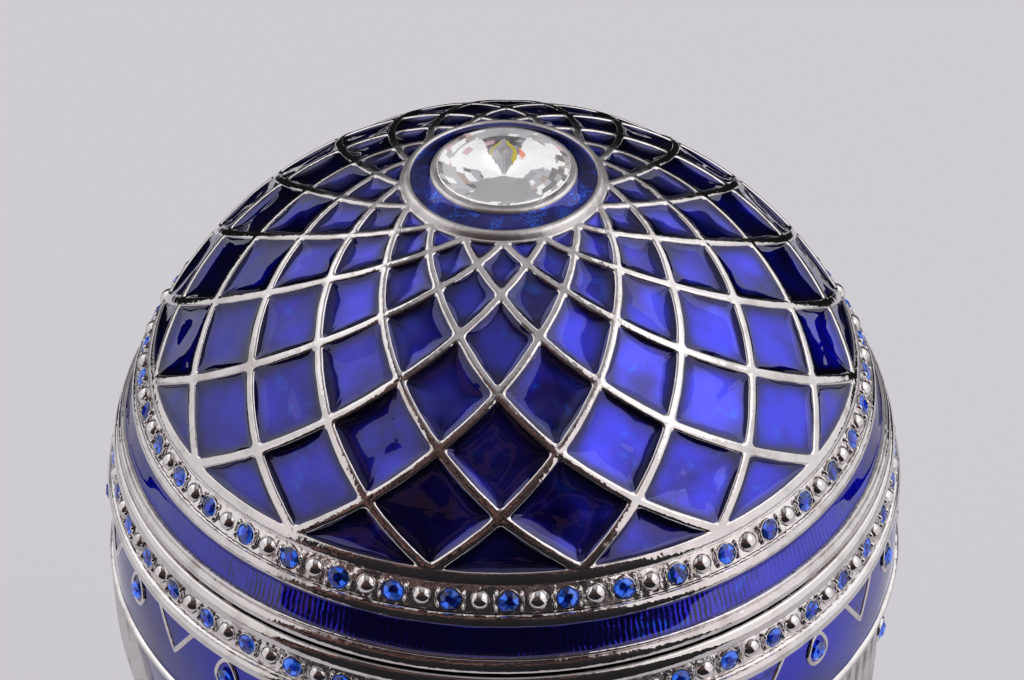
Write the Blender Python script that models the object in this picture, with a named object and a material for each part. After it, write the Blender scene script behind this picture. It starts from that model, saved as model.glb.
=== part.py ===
"""Jewelled egg on its foot: a latticed dome lid with a crystal, an enamelled body and a round stand.

Metres, +Z up. The origin is on the table under the middle of the stand. Angles run from the front
(-Y) towards the right (+X). Every metal piece is a casting about 2 mm thick, hollow inside.
"""

import math

import bmesh
import bpy
from mathutils import Vector
from mathutils.geometry import delaunay_2d_cdt

# Egg outline: two half eggs that meet at the widest ring
EQUATOR_RADIUS = 0.0492
EQUATOR_HEIGHT = 0.0822
DOME_RISE = 0.0514
BELLY_DROP = 0.0659
DOME_POWER = 2.03
BELLY_POWER = 2.0
WALL = 0.0024
GAP = 0.0003
SHARP_ANGLE = math.radians(32)

# Heights where one band of the lid ends and the next begins
LATTICE_FOOT = 0.1085
ROW_TOP = 0.10745
ROW_BOTTOM = 0.10448
LID_BAND_TOP = 0.1032
LID_BAND_BOTTOM = 0.09993
SEAM = 0.09797
RIDGE_LIFT = 0.0002
RIM_LIFT = 0.0005
SEAM_LIFT = -0.0001
LID_SEGMENTS = 48
CEILING = 0.1284
CEILING_EDGE = 0.1305
CEILING_STEPS = 5

# The lattice of the dome
LATTICE_RIBS = 16
LATTICE_RADII = (0.04247, 0.03896, 0.03443, 0.02918, 0.02378, 0.01895, 0.01511, 0.01193)
RIB_WIDTH_LOW = 0.00092
RIB_WIDTH_HIGH = 0.00066
CELL_DEPTH = 0.00055
LATTICE_FOOT_EDGE = 0.0003

# The crown round the crystal
CROWN_SEGMENTS = 32
CROWN_RADIUS = 0.0118
CROWN_INNER_RADIUS = 0.01088
CROWN_TOP = 0.1332
BEZEL_RADIUS = 0.0087
BEZEL_TOP = 0.1339
CROWN_FLOOR = 0.1326
GIRDLE_RADIUS = 0.0080
GIRDLE_HEIGHT = 0.1344
GIRDLE_DEPTH = 0.0003
CRYSTAL_RISE = 0.0020
CRYSTAL_DROP = 0.0036
CRYSTAL_FACETS = 16
CRYSTAL_BEND = 0.6
CRYSTAL_BEND_RISE = 0.0014

# The stone rows: stones and beads by turns
LID_STONES = 42
LID_STONE_TURN = math.radians(0.8)
BODY_STONES = 46
BODY_STONE_TURN = math.radians(1.2)
CHANNEL_DEPTH = 0.0006
CHANNEL_SLOPE = 0.0001
STONE_STUD_RISE = 0.0007
BEAD_STUD_RISE = 0.0009
STUD_SHARE = 0.62

# The body under the seam
COLLAR_RADIUS = 0.0440
COLLAR_THICKNESS = 0.0011
COLLAR_RISE = 0.0021
COLLAR_FOOT = 0.0960
COLLAR_PLAY = 0.0005
BODY_ROW_TOP = 0.09564
BODY_ROW_BOTTOM = 0.09224
FRIEZE_TOP = 0.08981
FRIEZE_BOTTOM = 0.08034
COLUMN_TOP = 0.0795
COLUMN_BOTTOM = 0.0362
BOWL_TOP = 0.0332
BOWL_BOTTOM = 0.0252
BODY_BOTTOM = 0.0223
BODY_FLOOR = 0.0262
BODY_INSIDE = (0.0925, 0.0780, 0.0610, 0.0440, BODY_FLOOR)
BAND_LIFT = 0.0004
FRIEZE_SEGMENTS = 48
BOWL_SEGMENTS = 40
INNER_SEGMENTS = 24
ENAMEL_DEPTH = 0.0005

# Sixteen pennants and drops in the frieze, eight columns under them
FRIEZE_REPEATS = 16
DROP_TURN = math.radians(3.8)
PENNANT_WIDTH = 0.0081
PENNANT_DROP = 0.0054
PENNANT_LINE = 0.0008
DROP_WIDTH = 0.0034
DROP_TIP = 0.0010
DROP_ROUND = (175, 222, 270, 318, 365)
DROP_STONE_HEIGHT = 0.0876
DROP_STONE_RADIUS = 0.00125
STONE_THICKNESS = 0.0008
STONE_SIDES = 6
COLUMNS = 8
COLUMN_TURN = math.radians(15.0)
COLUMN_HALF_ANGLE = math.radians(6.6)
COLUMN_RISE = 0.0009
FLUTE_DEPTH = 0.0005
COLUMN_STEPS = 4
COLUMN_SHOULDER = math.radians(0.5)
FLUTES = (0.0, FLUTE_DEPTH, 0.0, FLUTE_DEPTH, 0.0)
PANEL_STONES = 8
PANEL_TURN = math.radians(-7.5)
PANEL_STONE_TURN = math.radians(11.3)
PANEL_STONE_HEIGHT = 0.0757
PANEL_STONE_RADIUS = 0.00125

# The stand: radii, with heights under its top outside and over the table inside
STAND_SEGMENTS = 32
STAND_TOP = BODY_BOTTOM - GAP
STAND_OUTLINE = (
    (0.0192, 0.0),
    (0.0196, -0.0020),
    (0.0156, -0.0048),
    (0.0150, -0.0084),
    (0.0184, -0.0120),
    (0.0290, -0.0158),
    (0.0299, -0.0174),
    (0.0332, -0.0184),
    (0.0340, -0.0202),
)
STAND_HOLLOW = (
    (0.0312, 0.0),
    (0.0300, 0.0024),
    (0.0230, 0.0052),
    (0.0150, 0.0088),
    (0.0118, 0.0130),
    (0.0118, 0.0190),
)


def egg_radius(height):
    """The egg's radius at a height."""
    if height >= EQUATOR_HEIGHT:
        share = ((height - EQUATOR_HEIGHT) / DOME_RISE) ** DOME_POWER
        return EQUATOR_RADIUS * max(0.0, 1 - share) ** (1 / DOME_POWER)
    share = ((EQUATOR_HEIGHT - height) / BELLY_DROP) ** BELLY_POWER
    return EQUATOR_RADIUS * max(0.0, 1 - share) ** (1 / BELLY_POWER)


def dome_height(radius):
    """The height at which the dome has a radius."""
    share = (radius / EQUATOR_RADIUS) ** DOME_POWER
    return EQUATOR_HEIGHT + DOME_RISE * (1 - share) ** (1 / DOME_POWER)


def around(angle, radius, height):
    """The point at an angle from the front, a radius and a height."""
    return Vector((radius * math.sin(angle), -radius * math.cos(angle), height))


def on_egg(angle, height, lift=0.0):
    """The point of the egg's skin at a height, lifted off it."""
    step = 0.00002
    slope = (egg_radius(height + step) - egg_radius(height - step)) / (2 * step)
    size = math.hypot(1.0, slope)
    return around(angle, egg_radius(height) + lift / size, height - lift * slope / size)


def turns(count, offset=0.0):
    """Evenly spaced angles round the axis."""
    return [offset + math.tau * i / count for i in range(count)]


class Casting:
    """One closed skin, built loop by loop round the axis."""

    def __init__(self):
        self.mesh = bmesh.new()

    def loop(self, points):
        return [self.mesh.verts.new(point) for point in points]

    def ring(self, radius, height, angles):
        return self.loop([around(a, radius, height) for a in angles])

    def egg_ring(self, height, lift, angles):
        return self.loop([on_egg(a, height, lift) for a in angles])

    def face(self, *corners):
        corners = [c for i, c in enumerate(corners) if c is not corners[i - 1]]
        if len(corners) > 2:
            self.mesh.faces.new(corners)

    def strip(self, first, second):
        """Quads between two loops with the same number of corners."""
        for i in range(len(first)):
            self.face(first[i - 1], first[i], second[i], second[i - 1])

    def stitch(self, first, second):
        """Triangles between two loops with different numbers of corners."""
        if len(first) == len(second):
            self.strip(first, second)
            return
        first, second = sorted((first, second), key=len)
        near = min(range(len(second)), key=lambda k: (second[k].co - first[0].co).length)
        second = second[near:] + second[:near]
        i = j = 0
        while i < len(first) or j < len(second):
            a = first[i % len(first)]
            b = second[j % len(second)]
            a_next = first[(i + 1) % len(first)]
            b_next = second[(j + 1) % len(second)]
            by_first = (a_next.co - b.co).length
            by_second = (b_next.co - a.co).length
            if j >= len(second) or (i < len(first) and by_first < by_second):
                self.face(a, a_next, b)
                i += 1
            else:
                self.face(a, b_next, b)
                j += 1

    def turned(self, loop, outline, angles):
        """Carries a loop along an outline of radii and heights, and returns the last loop."""
        for radius, height in outline:
            following = self.ring(radius, height, angles)
            self.stitch(loop, following)
            loop = following
        return loop

    def moulded(self, loop, outline, angles):
        """Carries a loop along heights and lifts off the egg, and returns the last loop."""
        for height, lift in outline:
            following = self.egg_ring(height, lift, angles)
            self.stitch(loop, following)
            loop = following
        return loop

    def stone_row(self, upper, lower):
        """Raises a stone and a bead by turns in the cells between two loops."""
        for i in range(len(upper)):
            corners = (upper[i - 1], upper[i], lower[i], lower[i - 1])
            middle = sum((c.co for c in corners), Vector()) / 4
            out = (corners[1].co - corners[0].co).cross(corners[3].co - corners[0].co)
            if out.dot(middle) < 0:
                out.negate()
            out.normalize()
            if i % 2:
                self.peak(corners, middle + out * BEAD_STUD_RISE)
                continue
            table = out * STONE_STUD_RISE
            tops = self.loop([middle + (c.co - middle) * STUD_SHARE + table for c in corners])
            self.strip(corners, tops)
            self.face(*tops)

    def relief(self, low, high, angles, shapes, place, is_top):
        """Fills the zone between two loops at two levels, with a wall wherever they meet.

        The zone is drawn flat as a ring, with low as its outer edge. A shape's corners are pairs of
        an angle and a share of the way from low to high; angles are those of low's and high's corners.
        """
        border = low + high
        marks = [(a, 0.0 if k < len(low) else 1.0) for k, a in enumerate(angles)]
        loops = [list(range(len(low))), list(range(len(low), len(marks)))]
        for shape in shapes:
            loops.append(list(range(len(marks), len(marks) + len(shape))))
            marks += shape
        plan = [Vector(((2 - s) * math.cos(a), (2 - s) * math.sin(a))) for a, s in marks]
        edges = [(loop[k - 1], loop[k]) for loop in loops for k in range(len(loop))]
        spots, _, pieces, origins, _, inside = delaunay_2d_cdt(plan, edges, loops[1:], 0, 1e-7)
        corners = {}

        def corner(spot, top):
            if (spot, top) not in corners:
                known = [k for k in origins[spot] if k < len(border)]
                if top and known:
                    corners[spot, top] = border[known[0]]
                else:
                    x, y = spots[spot]
                    angle, share = math.atan2(y, x), 2 - math.hypot(x, y)
                    corners[spot, top] = self.mesh.verts.new(place(angle, share, top))
            return corners[spot, top]

        levels = {}
        for piece, owners in zip(pieces, inside):
            if 0 in owners:
                continue
            top = is_top(len(owners))
            self.face(*(corner(spot, top) for spot in piece))
            for k in range(len(piece)):
                edge = frozenset((piece[k - 1], piece[k]))
                levels.setdefault(edge, []).append(top)
        for edge, tops in levels.items():
            if len(tops) == 1:
                tops = tops + [True]
            if tops[0] != tops[1]:
                a, b = edge
                self.face(corner(a, True), corner(b, True), corner(b, False), corner(a, False))

    def peak(self, loop, point):
        """Closes a loop with a fan to a point."""
        top = self.mesh.verts.new(point)
        for k in range(len(loop)):
            self.face(loop[k - 1], loop[k], top)

    def close(self, loop, height):
        """Closes a loop with a fan to the axis."""
        self.peak(loop, (0.0, 0.0, height))

    def build(self, name, material):
        bmesh.ops.recalc_face_normals(self.mesh, faces=self.mesh.faces)
        data = bpy.data.meshes.new(name)
        self.mesh.to_mesh(data)
        self.mesh.free()
        data.shade_smooth()
        data.set_sharp_from_angle(angle=SHARP_ANGLE)
        data.materials.append(material)
        piece = bpy.data.objects.new(name, data)
        bpy.context.scene.collection.objects.link(piece)
        return piece


def finish(name, colour, metallic, roughness):
    """A Principled material."""
    material = bpy.data.materials.new(name)
    material.use_nodes = True
    shader = material.node_tree.nodes["Principled BSDF"]
    shader.inputs["Base Color"].default_value = (*colour, 1.0)
    shader.inputs["Metallic"].default_value = metallic
    shader.inputs["Roughness"].default_value = roughness
    return material


class Meridian:
    """The dome's outline by the distance run up it from the lattice's foot."""

    STEPS = 240

    def __init__(self, foot, head):
        self.radii = [foot + (head - foot) * i / self.STEPS for i in range(self.STEPS + 1)]
        self.heights = [dome_height(r) for r in self.radii]
        self.runs = [0.0]
        for i in range(self.STEPS):
            step = math.hypot(self.radii[i + 1] - self.radii[i], self.heights[i + 1] - self.heights[i])
            self.runs.append(self.runs[-1] + step)

    def radius_at(self, run):
        run = min(max(run, 0.0), self.runs[-1])
        i = next(k for k in range(self.STEPS) if self.runs[k + 1] >= run)
        share = (run - self.runs[i]) / (self.runs[i + 1] - self.runs[i])
        return self.radii[i] + (self.radii[i + 1] - self.radii[i]) * share

    def run_at(self, radius):
        i = next(k for k in range(self.STEPS) if self.radii[k + 1] <= radius + 1e-9)
        share = (radius - self.radii[i]) / (self.radii[i + 1] - self.radii[i])
        return self.runs[i] + (self.runs[i + 1] - self.runs[i]) * share


def inset(corners, widths):
    """A polygon's corners moved inwards, each edge by its own width."""
    count = len(corners)
    area = sum(corners[k - 1].cross(corners[k]) for k in range(count))
    side = 1 if area > 0 else -1
    lines = []
    for k in range(count):
        a, b = corners[k], corners[(k + 1) % count]
        along = (b - a).normalized()
        normal = Vector((-along.y, along.x)) * side
        lines.append((a + normal * widths[k], along))
    moved = []
    for k in range(count):
        (p, d), (q, e) = lines[k - 1], lines[k]
        moved.append(p + d * ((q - p).cross(e) / d.cross(e)))
    return moved


def between(first, last, parts):
    """The points that divide the way between two marks into parts."""
    shares = [i / parts for i in range(1, parts)]
    return [tuple(a + (b - a) * s for a, b in zip(first, last)) for s in shares]


def lattice_cells(meridian):
    """The openings between the ribs, as angles and shares of the run up the dome."""
    length = meridian.runs[-1]
    runs = [meridian.run_at(r) for r in LATTICE_RADII]
    half = math.pi / LATTICE_RIBS
    cells = []
    top_row = len(runs) - 1
    for row in range(len(runs)):
        for k in range(LATTICE_RIBS):
            centre = (2 * k + (row % 2)) * half
            sides = [(-half, runs[row]), (half, runs[row])]
            if row == 0:
                nodes = [sides[0], sides[1], (0.0, runs[1])]
            elif row == top_row:
                nodes = [sides[1], sides[0], (0.0, runs[row - 1])]
            else:
                nodes = [(0.0, runs[row - 1]), sides[1], (0.0, runs[row + 1]), sides[0]]
            share = row / top_row
            rib = (RIB_WIDTH_LOW * (1 - share) + RIB_WIDTH_HIGH * share) / 2
            widths = [rib] * len(nodes)
            if row in (0, top_row):
                widths[0] = LATTICE_FOOT_EDGE
            flat = [Vector((a * meridian.radius_at(run), run)) for a, run in nodes]
            opening = inset(flat, widths)
            cell = [(centre + p.x / meridian.radius_at(p.y), p.y / length) for p in opening]
            if row == 0:
                cell[1:1] = between(cell[0], cell[1], 3)
            if row == top_row:
                cell[1:1] = between(cell[0], cell[1], 2)
            cells.append(cell)
    return cells


def crown(casting, loop):
    """The rings round the crystal and its cone-shaped seat."""
    outline = (
        (CROWN_RADIUS, CROWN_TOP),
        (CROWN_INNER_RADIUS, CROWN_TOP),
        (CROWN_INNER_RADIUS, CROWN_FLOOR),
        (BEZEL_RADIUS, CROWN_FLOOR),
        (BEZEL_RADIUS, BEZEL_TOP),
        (GIRDLE_RADIUS + GAP, BEZEL_TOP),
    )
    loop = casting.turned(loop, outline, turns(CROWN_SEGMENTS))
    casting.close(loop, GIRDLE_HEIGHT - GIRDLE_DEPTH - CRYSTAL_DROP - GAP)


def stone_channel(casting, loop, top, bottom, stones, offset):
    """A sunk channel with its stones and beads, from a loop at its top edge."""
    angles = turns(2 * stones, offset + math.pi / 2 / stones)
    upper = casting.egg_ring(top - CHANNEL_SLOPE, -CHANNEL_DEPTH, angles)
    lower = casting.egg_ring(bottom + CHANNEL_SLOPE, -CHANNEL_DEPTH, angles)
    casting.stitch(loop, upper)
    casting.stone_row(upper, lower)
    return lower


def make_lid(silver):
    """The dome: lattice, crown, stone row, enamel band and rim, hollow below."""
    casting = Casting()
    meridian = Meridian(egg_radius(LATTICE_FOOT), CROWN_RADIUS)
    length = meridian.runs[-1]
    low_angles = turns(LID_SEGMENTS, math.pi / LID_SEGMENTS)
    high_angles = turns(CROWN_SEGMENTS)
    low = casting.egg_ring(LATTICE_FOOT, 0.0, low_angles)
    high = casting.loop([on_egg(a, dome_height(CROWN_RADIUS)) for a in high_angles])

    def place(angle, share, top):
        height = dome_height(meridian.radius_at(share * length))
        return on_egg(angle, height, 0.0 if top else -CELL_DEPTH)

    cells = lattice_cells(meridian)
    casting.relief(low, high, low_angles + high_angles, cells, place, lambda owners: owners == 0)
    crown(casting, high)
    loop = casting.moulded(low, ((ROW_TOP, 0.0),), low_angles)
    loop = stone_channel(casting, loop, ROW_TOP, ROW_BOTTOM, LID_STONES, LID_STONE_TURN)
    rim = (
        (ROW_BOTTOM, RIDGE_LIFT),
        (LID_BAND_TOP, RIDGE_LIFT),
        (LID_BAND_TOP - CHANNEL_SLOPE, -ENAMEL_DEPTH),
        (LID_BAND_BOTTOM + CHANNEL_SLOPE, -ENAMEL_DEPTH),
        (LID_BAND_BOTTOM - CHANNEL_SLOPE, RIM_LIFT),
        (SEAM + RIM_LIFT, RIM_LIFT),
        (SEAM, SEAM_LIFT),
    )
    loop = casting.moulded(loop, rim, low_angles)
    bore = COLLAR_RADIUS + GAP
    first = SEAM + COLLAR_RISE + COLLAR_PLAY
    inside = [(bore, SEAM), (bore, first)]
    for i in range(1, CEILING_STEPS + 1):
        height = first + (CEILING_EDGE - first) * math.sin(math.pi / 2 * i / CEILING_STEPS)
        point = on_egg(0.0, height, -WALL)
        inside.append((-point.y, min(point.z, CEILING)))
    loop = casting.turned(loop, inside, turns(INNER_SEGMENTS))
    casting.close(loop, CEILING)
    return casting.build("lid", silver)


def frieze_shapes():
    """Pennants and drops, each with its angle and share of the way up the frieze."""
    rise = FRIEZE_TOP - FRIEZE_BOTTOM
    half = PENNANT_WIDTH / 2
    pennant = [(-half, rise), (0.0, rise - PENNANT_DROP), (half, rise)]
    lines = (PENNANT_LINE, PENNANT_LINE, PENNANT_LINE / 2)
    opening = [tuple(p) for p in inset([Vector(p) for p in pennant], lines)]
    round_part = []
    for degrees in DROP_ROUND:
        turn = math.radians(degrees)
        height = DROP_STONE_HEIGHT - FRIEZE_BOTTOM + DROP_WIDTH / 2 * math.sin(turn)
        round_part.append((DROP_WIDTH / 2 * math.cos(turn), height))
    drop = [(-DROP_TIP / 2, rise)] + round_part + [(DROP_TIP / 2, rise)]
    shapes = []
    for k in range(FRIEZE_REPEATS):
        axis = DROP_TURN + math.tau * k / FRIEZE_REPEATS
        middle = axis + math.pi / FRIEZE_REPEATS
        for angle, outline in ((middle, pennant), (middle, opening), (axis, drop)):
            shapes.append([(angle + x / EQUATOR_RADIUS, y / rise) for x, y in outline])
    return shapes


def make_body(silver):
    """The cup of the egg under the seam, with its collar, rows, frieze, columns and bowl."""
    casting = Casting()
    ring_angles = turns(BODY_STONES)
    top = SEAM - GAP
    seam = casting.ring(egg_radius(SEAM) + SEAM_LIFT, top, ring_angles)
    rim = (
        (top - RIM_LIFT, RIM_LIFT),
        (BODY_ROW_TOP + RIM_LIFT, RIM_LIFT),
        (BODY_ROW_TOP, 0.0),
    )
    loop = casting.moulded(seam, rim, ring_angles)
    loop = stone_channel(casting, loop, BODY_ROW_TOP, BODY_ROW_BOTTOM, BODY_STONES, BODY_STONE_TURN)
    ridge = ((BODY_ROW_BOTTOM, 0.0), ((BODY_ROW_BOTTOM + FRIEZE_TOP) / 2, RIM_LIFT))
    loop = casting.moulded(loop, ridge, ring_angles)
    loop = frieze(casting, loop)
    loop = columns(casting, loop)
    bowl = (
        (BOWL_TOP, BAND_LIFT),
        (BOWL_TOP - CHANNEL_SLOPE, -ENAMEL_DEPTH),
        (BOWL_BOTTOM, -ENAMEL_DEPTH),
        (BOWL_BOTTOM - CHANNEL_SLOPE, BAND_LIFT),
        (BODY_BOTTOM, 0.0),
    )
    loop = casting.moulded(loop, bowl, turns(BOWL_SEGMENTS))
    casting.close(loop, BODY_BOTTOM)
    bore = COLLAR_RADIUS - COLLAR_THICKNESS
    collar = [(COLLAR_RADIUS, top), (COLLAR_RADIUS, top + COLLAR_RISE), (bore, top + COLLAR_RISE)]
    cup = [(egg_radius(height) - WALL - ENAMEL_DEPTH, height) for height in BODY_INSIDE]
    loop = casting.turned(seam, collar + [(bore, COLLAR_FOOT)] + cup, turns(INNER_SEGMENTS))
    casting.close(loop, BODY_FLOOR)
    return casting.build("egg_body", silver)


def frieze(casting, loop):
    """The enamel field with pennants and drops, and the silver ring under it."""
    half_pennant = PENNANT_WIDTH / 2 / EQUATOR_RADIUS
    half_tip = DROP_TIP / 2 / EQUATOR_RADIUS
    top_angles = []
    for k in range(FRIEZE_REPEATS):
        axis = DROP_TURN + math.tau * k / FRIEZE_REPEATS
        middle = axis + math.pi / FRIEZE_REPEATS
        top_angles += [axis - half_tip, axis + half_tip, middle - half_pennant, middle + half_pennant]
    low_angles = turns(FRIEZE_SEGMENTS)
    high = casting.egg_ring(FRIEZE_TOP, 0.0, top_angles)
    low = casting.egg_ring(FRIEZE_BOTTOM, 0.0, low_angles)
    casting.stitch(loop, high)

    def place(angle, share, top):
        height = FRIEZE_BOTTOM + (FRIEZE_TOP - FRIEZE_BOTTOM) * share
        return on_egg(angle, height, 0.0 if top else -ENAMEL_DEPTH)

    shapes = frieze_shapes()
    casting.relief(low, high, low_angles + top_angles, shapes, place, lambda owners: owners == 1)
    ring = (((FRIEZE_BOTTOM + COLUMN_TOP) / 2, BAND_LIFT), (COLUMN_TOP, 0.0))
    return casting.moulded(low, ring, low_angles)


def columns(casting, loop):
    """Eight fluted columns down the body with sunk enamel panels between them."""
    edge = COLUMN_HALF_ANGLE + COLUMN_SHOULDER
    span = math.tau / COLUMNS - 2 * edge
    marks = []
    for k in range(COLUMNS):
        middle = COLUMN_TURN + math.tau * k / COLUMNS
        marks.append((middle - edge, -ENAMEL_DEPTH))
        for i, dent in enumerate(FLUTES):
            share = 2 * i / (len(FLUTES) - 1) - 1
            marks.append((middle + share * COLUMN_HALF_ANGLE, COLUMN_RISE - dent))
        marks += [(middle + edge + span * part / 3, -ENAMEL_DEPTH) for part in range(3)]
    top = COLUMN_TOP - CHANNEL_SLOPE
    bottom = COLUMN_BOTTOM + CHANNEL_SLOPE
    first = math.asin((EQUATOR_HEIGHT - top) / BELLY_DROP)
    last = math.asin((EQUATOR_HEIGHT - bottom) / BELLY_DROP)
    for i in range(COLUMN_STEPS + 1):
        height = EQUATOR_HEIGHT - BELLY_DROP * math.sin(first + (last - first) * i / COLUMN_STEPS)
        following = casting.loop([on_egg(angle, height, lift) for angle, lift in marks])
        casting.stitch(loop, following)
        loop = following
    return casting.moulded(loop, ((COLUMN_BOTTOM, BAND_LIFT),), turns(BOWL_SEGMENTS))


def make_stand(silver):
    """The round foot, hollow underneath."""
    casting = Casting()
    angles = turns(STAND_SEGMENTS)
    outer = [(r, STAND_TOP + drop) for r, drop in STAND_OUTLINE] + [(STAND_OUTLINE[-1][0], 0.0)]
    first = casting.ring(*outer[0], angles)
    casting.close(first, STAND_TOP)
    loop = casting.turned(first, outer[1:], angles)
    loop = casting.turned(loop, STAND_HOLLOW[:1], angles)
    loop = casting.turned(loop, STAND_HOLLOW[1:], turns(STAND_SEGMENTS // 2))
    casting.close(loop, STAND_HOLLOW[-1][1])
    return casting.build("stand", silver)


def make_crystal(glass):
    """A round stone with a low cone in front and a deep one behind."""
    crystal = Casting()
    angles = turns(CRYSTAL_FACETS, math.pi / CRYSTAL_FACETS)
    bend_radius = GIRDLE_RADIUS * CRYSTAL_BEND
    upper = crystal.ring(GIRDLE_RADIUS, GIRDLE_HEIGHT, angles)
    inner = crystal.ring(bend_radius, GIRDLE_HEIGHT + CRYSTAL_BEND_RISE, turns(CRYSTAL_FACETS))
    lower = crystal.ring(GIRDLE_RADIUS, GIRDLE_HEIGHT - GIRDLE_DEPTH, angles)
    crystal.strip(upper, lower)
    crystal.stitch(upper, inner)
    crystal.close(inner, GIRDLE_HEIGHT + CRYSTAL_RISE)
    crystal.close(lower, GIRDLE_HEIGHT - GIRDLE_DEPTH - CRYSTAL_DROP)
    return crystal.build("crystal", glass)


def make_stone(name, angle, height, lift, radius, glass):
    """A small pointed stone standing on the egg's skin."""
    foot = on_egg(angle, height, lift)
    out = (on_egg(angle, height, lift + STONE_THICKNESS) - foot).normalized()
    across = Vector((math.cos(angle), math.sin(angle), 0.0))
    up = out.cross(across)
    stone = Casting()
    girdle = []
    for turn in turns(STONE_SIDES):
        girdle.append(foot + (across * math.cos(turn) + up * math.sin(turn)) * radius)
    loop = stone.loop(girdle)
    stone.face(*loop)
    stone.peak(loop, foot + out * STONE_THICKNESS)
    return stone.build(name, glass)


def main():
    for old in list(bpy.data.objects):
        bpy.data.objects.remove(old, do_unlink=True)
    silver = finish("polished_silver", (0.80, 0.78, 0.76), 1.0, 0.16)
    clear = finish("clear_crystal", (0.93, 0.94, 0.96), 0.0, 0.02)
    blue = finish("blue_stone", (0.02, 0.08, 0.62), 0.0, 0.05)
    make_lid(silver)
    make_body(silver)
    make_stand(silver)
    make_crystal(clear)
    for k in range(FRIEZE_REPEATS):
        angle = DROP_TURN + math.tau * k / FRIEZE_REPEATS
        make_stone(f"drop_stone_{k + 1:02d}", angle, DROP_STONE_HEIGHT, GAP, DROP_STONE_RADIUS, blue)
    for k in range(PANEL_STONES):
        panel = PANEL_TURN + math.tau * (k // 2) / (PANEL_STONES // 2)
        angle = panel + (PANEL_STONE_TURN if k % 2 else -PANEL_STONE_TURN)
        lift = GAP - ENAMEL_DEPTH
        make_stone(f"panel_stone_{k + 1}", angle, PANEL_STONE_HEIGHT, lift, PANEL_STONE_RADIUS, blue)


main()
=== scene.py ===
"""The jewelled egg, finished and lit: latticed dome with its crystal, enamelled body and round stand.

Metres, +Z up, on the table at z = 0. Angles run from the front (-Y) towards the right (+X).
"""

import bisect
import math
import random

import bmesh
import bpy
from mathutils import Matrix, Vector, noise


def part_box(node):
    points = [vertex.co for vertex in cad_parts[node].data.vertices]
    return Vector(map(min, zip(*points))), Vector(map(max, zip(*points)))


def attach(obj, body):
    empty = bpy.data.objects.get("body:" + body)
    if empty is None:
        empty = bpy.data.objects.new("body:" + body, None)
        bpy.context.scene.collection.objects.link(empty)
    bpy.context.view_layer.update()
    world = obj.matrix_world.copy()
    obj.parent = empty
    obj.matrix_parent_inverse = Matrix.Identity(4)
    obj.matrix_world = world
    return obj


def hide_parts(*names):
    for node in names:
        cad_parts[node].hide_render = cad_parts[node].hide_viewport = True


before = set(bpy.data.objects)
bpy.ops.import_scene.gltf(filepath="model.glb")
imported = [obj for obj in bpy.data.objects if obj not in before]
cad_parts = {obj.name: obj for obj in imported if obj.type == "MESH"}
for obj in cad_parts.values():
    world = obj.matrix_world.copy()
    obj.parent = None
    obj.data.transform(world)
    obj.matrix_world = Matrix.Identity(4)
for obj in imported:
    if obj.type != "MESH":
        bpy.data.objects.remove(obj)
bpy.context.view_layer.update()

MM = 0.001
FULL = math.tau

# Egg outline: two half eggs that meet at the widest ring
EQUATOR_RADIUS = 49.2 * MM
EQUATOR_HEIGHT = 82.2 * MM
DOME_RISE = 51.4 * MM
BELLY_DROP = 65.9 * MM
DOME_POWER = 2.03
BELLY_POWER = 2.0
WALL = 2.4 * MM

# Heights of the lid's bands
LATTICE_FOOT = 108.5 * MM
LID_ROW_TOP = 107.45 * MM
LID_ROW_BOTTOM = 104.48 * MM
LID_BAND_TOP = 103.2 * MM
LID_BAND_BOTTOM = 99.93 * MM
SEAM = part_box("lid")[0].z
GAP = 0.3 * MM

# Inside the lid: the bore that goes over the body's collar, and the ceiling
LID_BORE = 44.3 * MM
LID_BORE_TOP = SEAM + 2.6 * MM
LID_CEILING = 128.4 * MM

# The lattice of the dome
RIBS = 16
LATTICE_RADII = [r * MM for r in (42.47, 38.96, 34.43, 29.18, 23.78, 18.95, 15.11, 11.93)]
RIB_HALF_LOW = 0.62 * MM
RIB_HALF_HIGH = 0.42 * MM
RING_EDGE = 0.32 * MM
CELL_FLOOR = 0.85 * MM
FILLET = 0.6 * MM

# The ribs were laid by eye: how far their crossings stray round the dome
STRAY_BOW = math.radians(-1.23)
STRAY_TWIST = math.radians(-0.56)
STRAY_CROWD = math.radians(-1.42)
STRAY_CHANCE = 0.14 * MM

# Radii and heights in millimetres: the crown from the lattice's head over its outer ring and the
# enamel's bed to the bezel, and the enamel that lies in that bed
CROWN_RADIUS = 11.8 * MM
CROWN_OUTLINE = (
    (11.79, 132.56), (11.72, 132.72), (11.6, 132.86), (11.44, 132.97), (11.27, 133.02), (11.1, 133.02),
    (10.97, 132.96), (10.89, 132.84), (10.86, 132.68), (10.86, 132.5), (9.8, 132.78), (8.62, 133.15),
    (8.62, 133.5), (8.58, 133.66), (8.5, 133.8), (8.38, 133.9), (8.24, 133.94), (8.1, 133.93),
    (7.98, 133.88), (7.9, 133.78), (7.87, 133.5),
)
CROWN_ENAMEL = (
    (10.84, 132.53), (10.88, 132.84), (10.8, 132.79), (10.65, 132.79), (10.3, 132.87), (9.8, 133.02),
    (9.3, 133.18), (8.9, 133.31), (8.72, 133.39), (8.6, 133.5), (8.6, 133.18), (9.8, 132.81),
)
CRYSTAL_LOW, CRYSTAL_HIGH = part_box("crystal")
GIRDLE_RADIUS = 7.8 * MM
GIRDLE_HEIGHT = 134.4 * MM
GIRDLE_EDGE = 0.3 * MM

# The stone rows
LID_STONES = 42
LID_STONE_TURN = math.radians(0.8)
BODY_STONES = 46
BODY_STONE_TURN = math.radians(1.2)
STONE_RADIUS = 1.2 * MM
ROW_DEPTH = 0.6 * MM
ROW_FLOOR = -0.62 * MM

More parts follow.
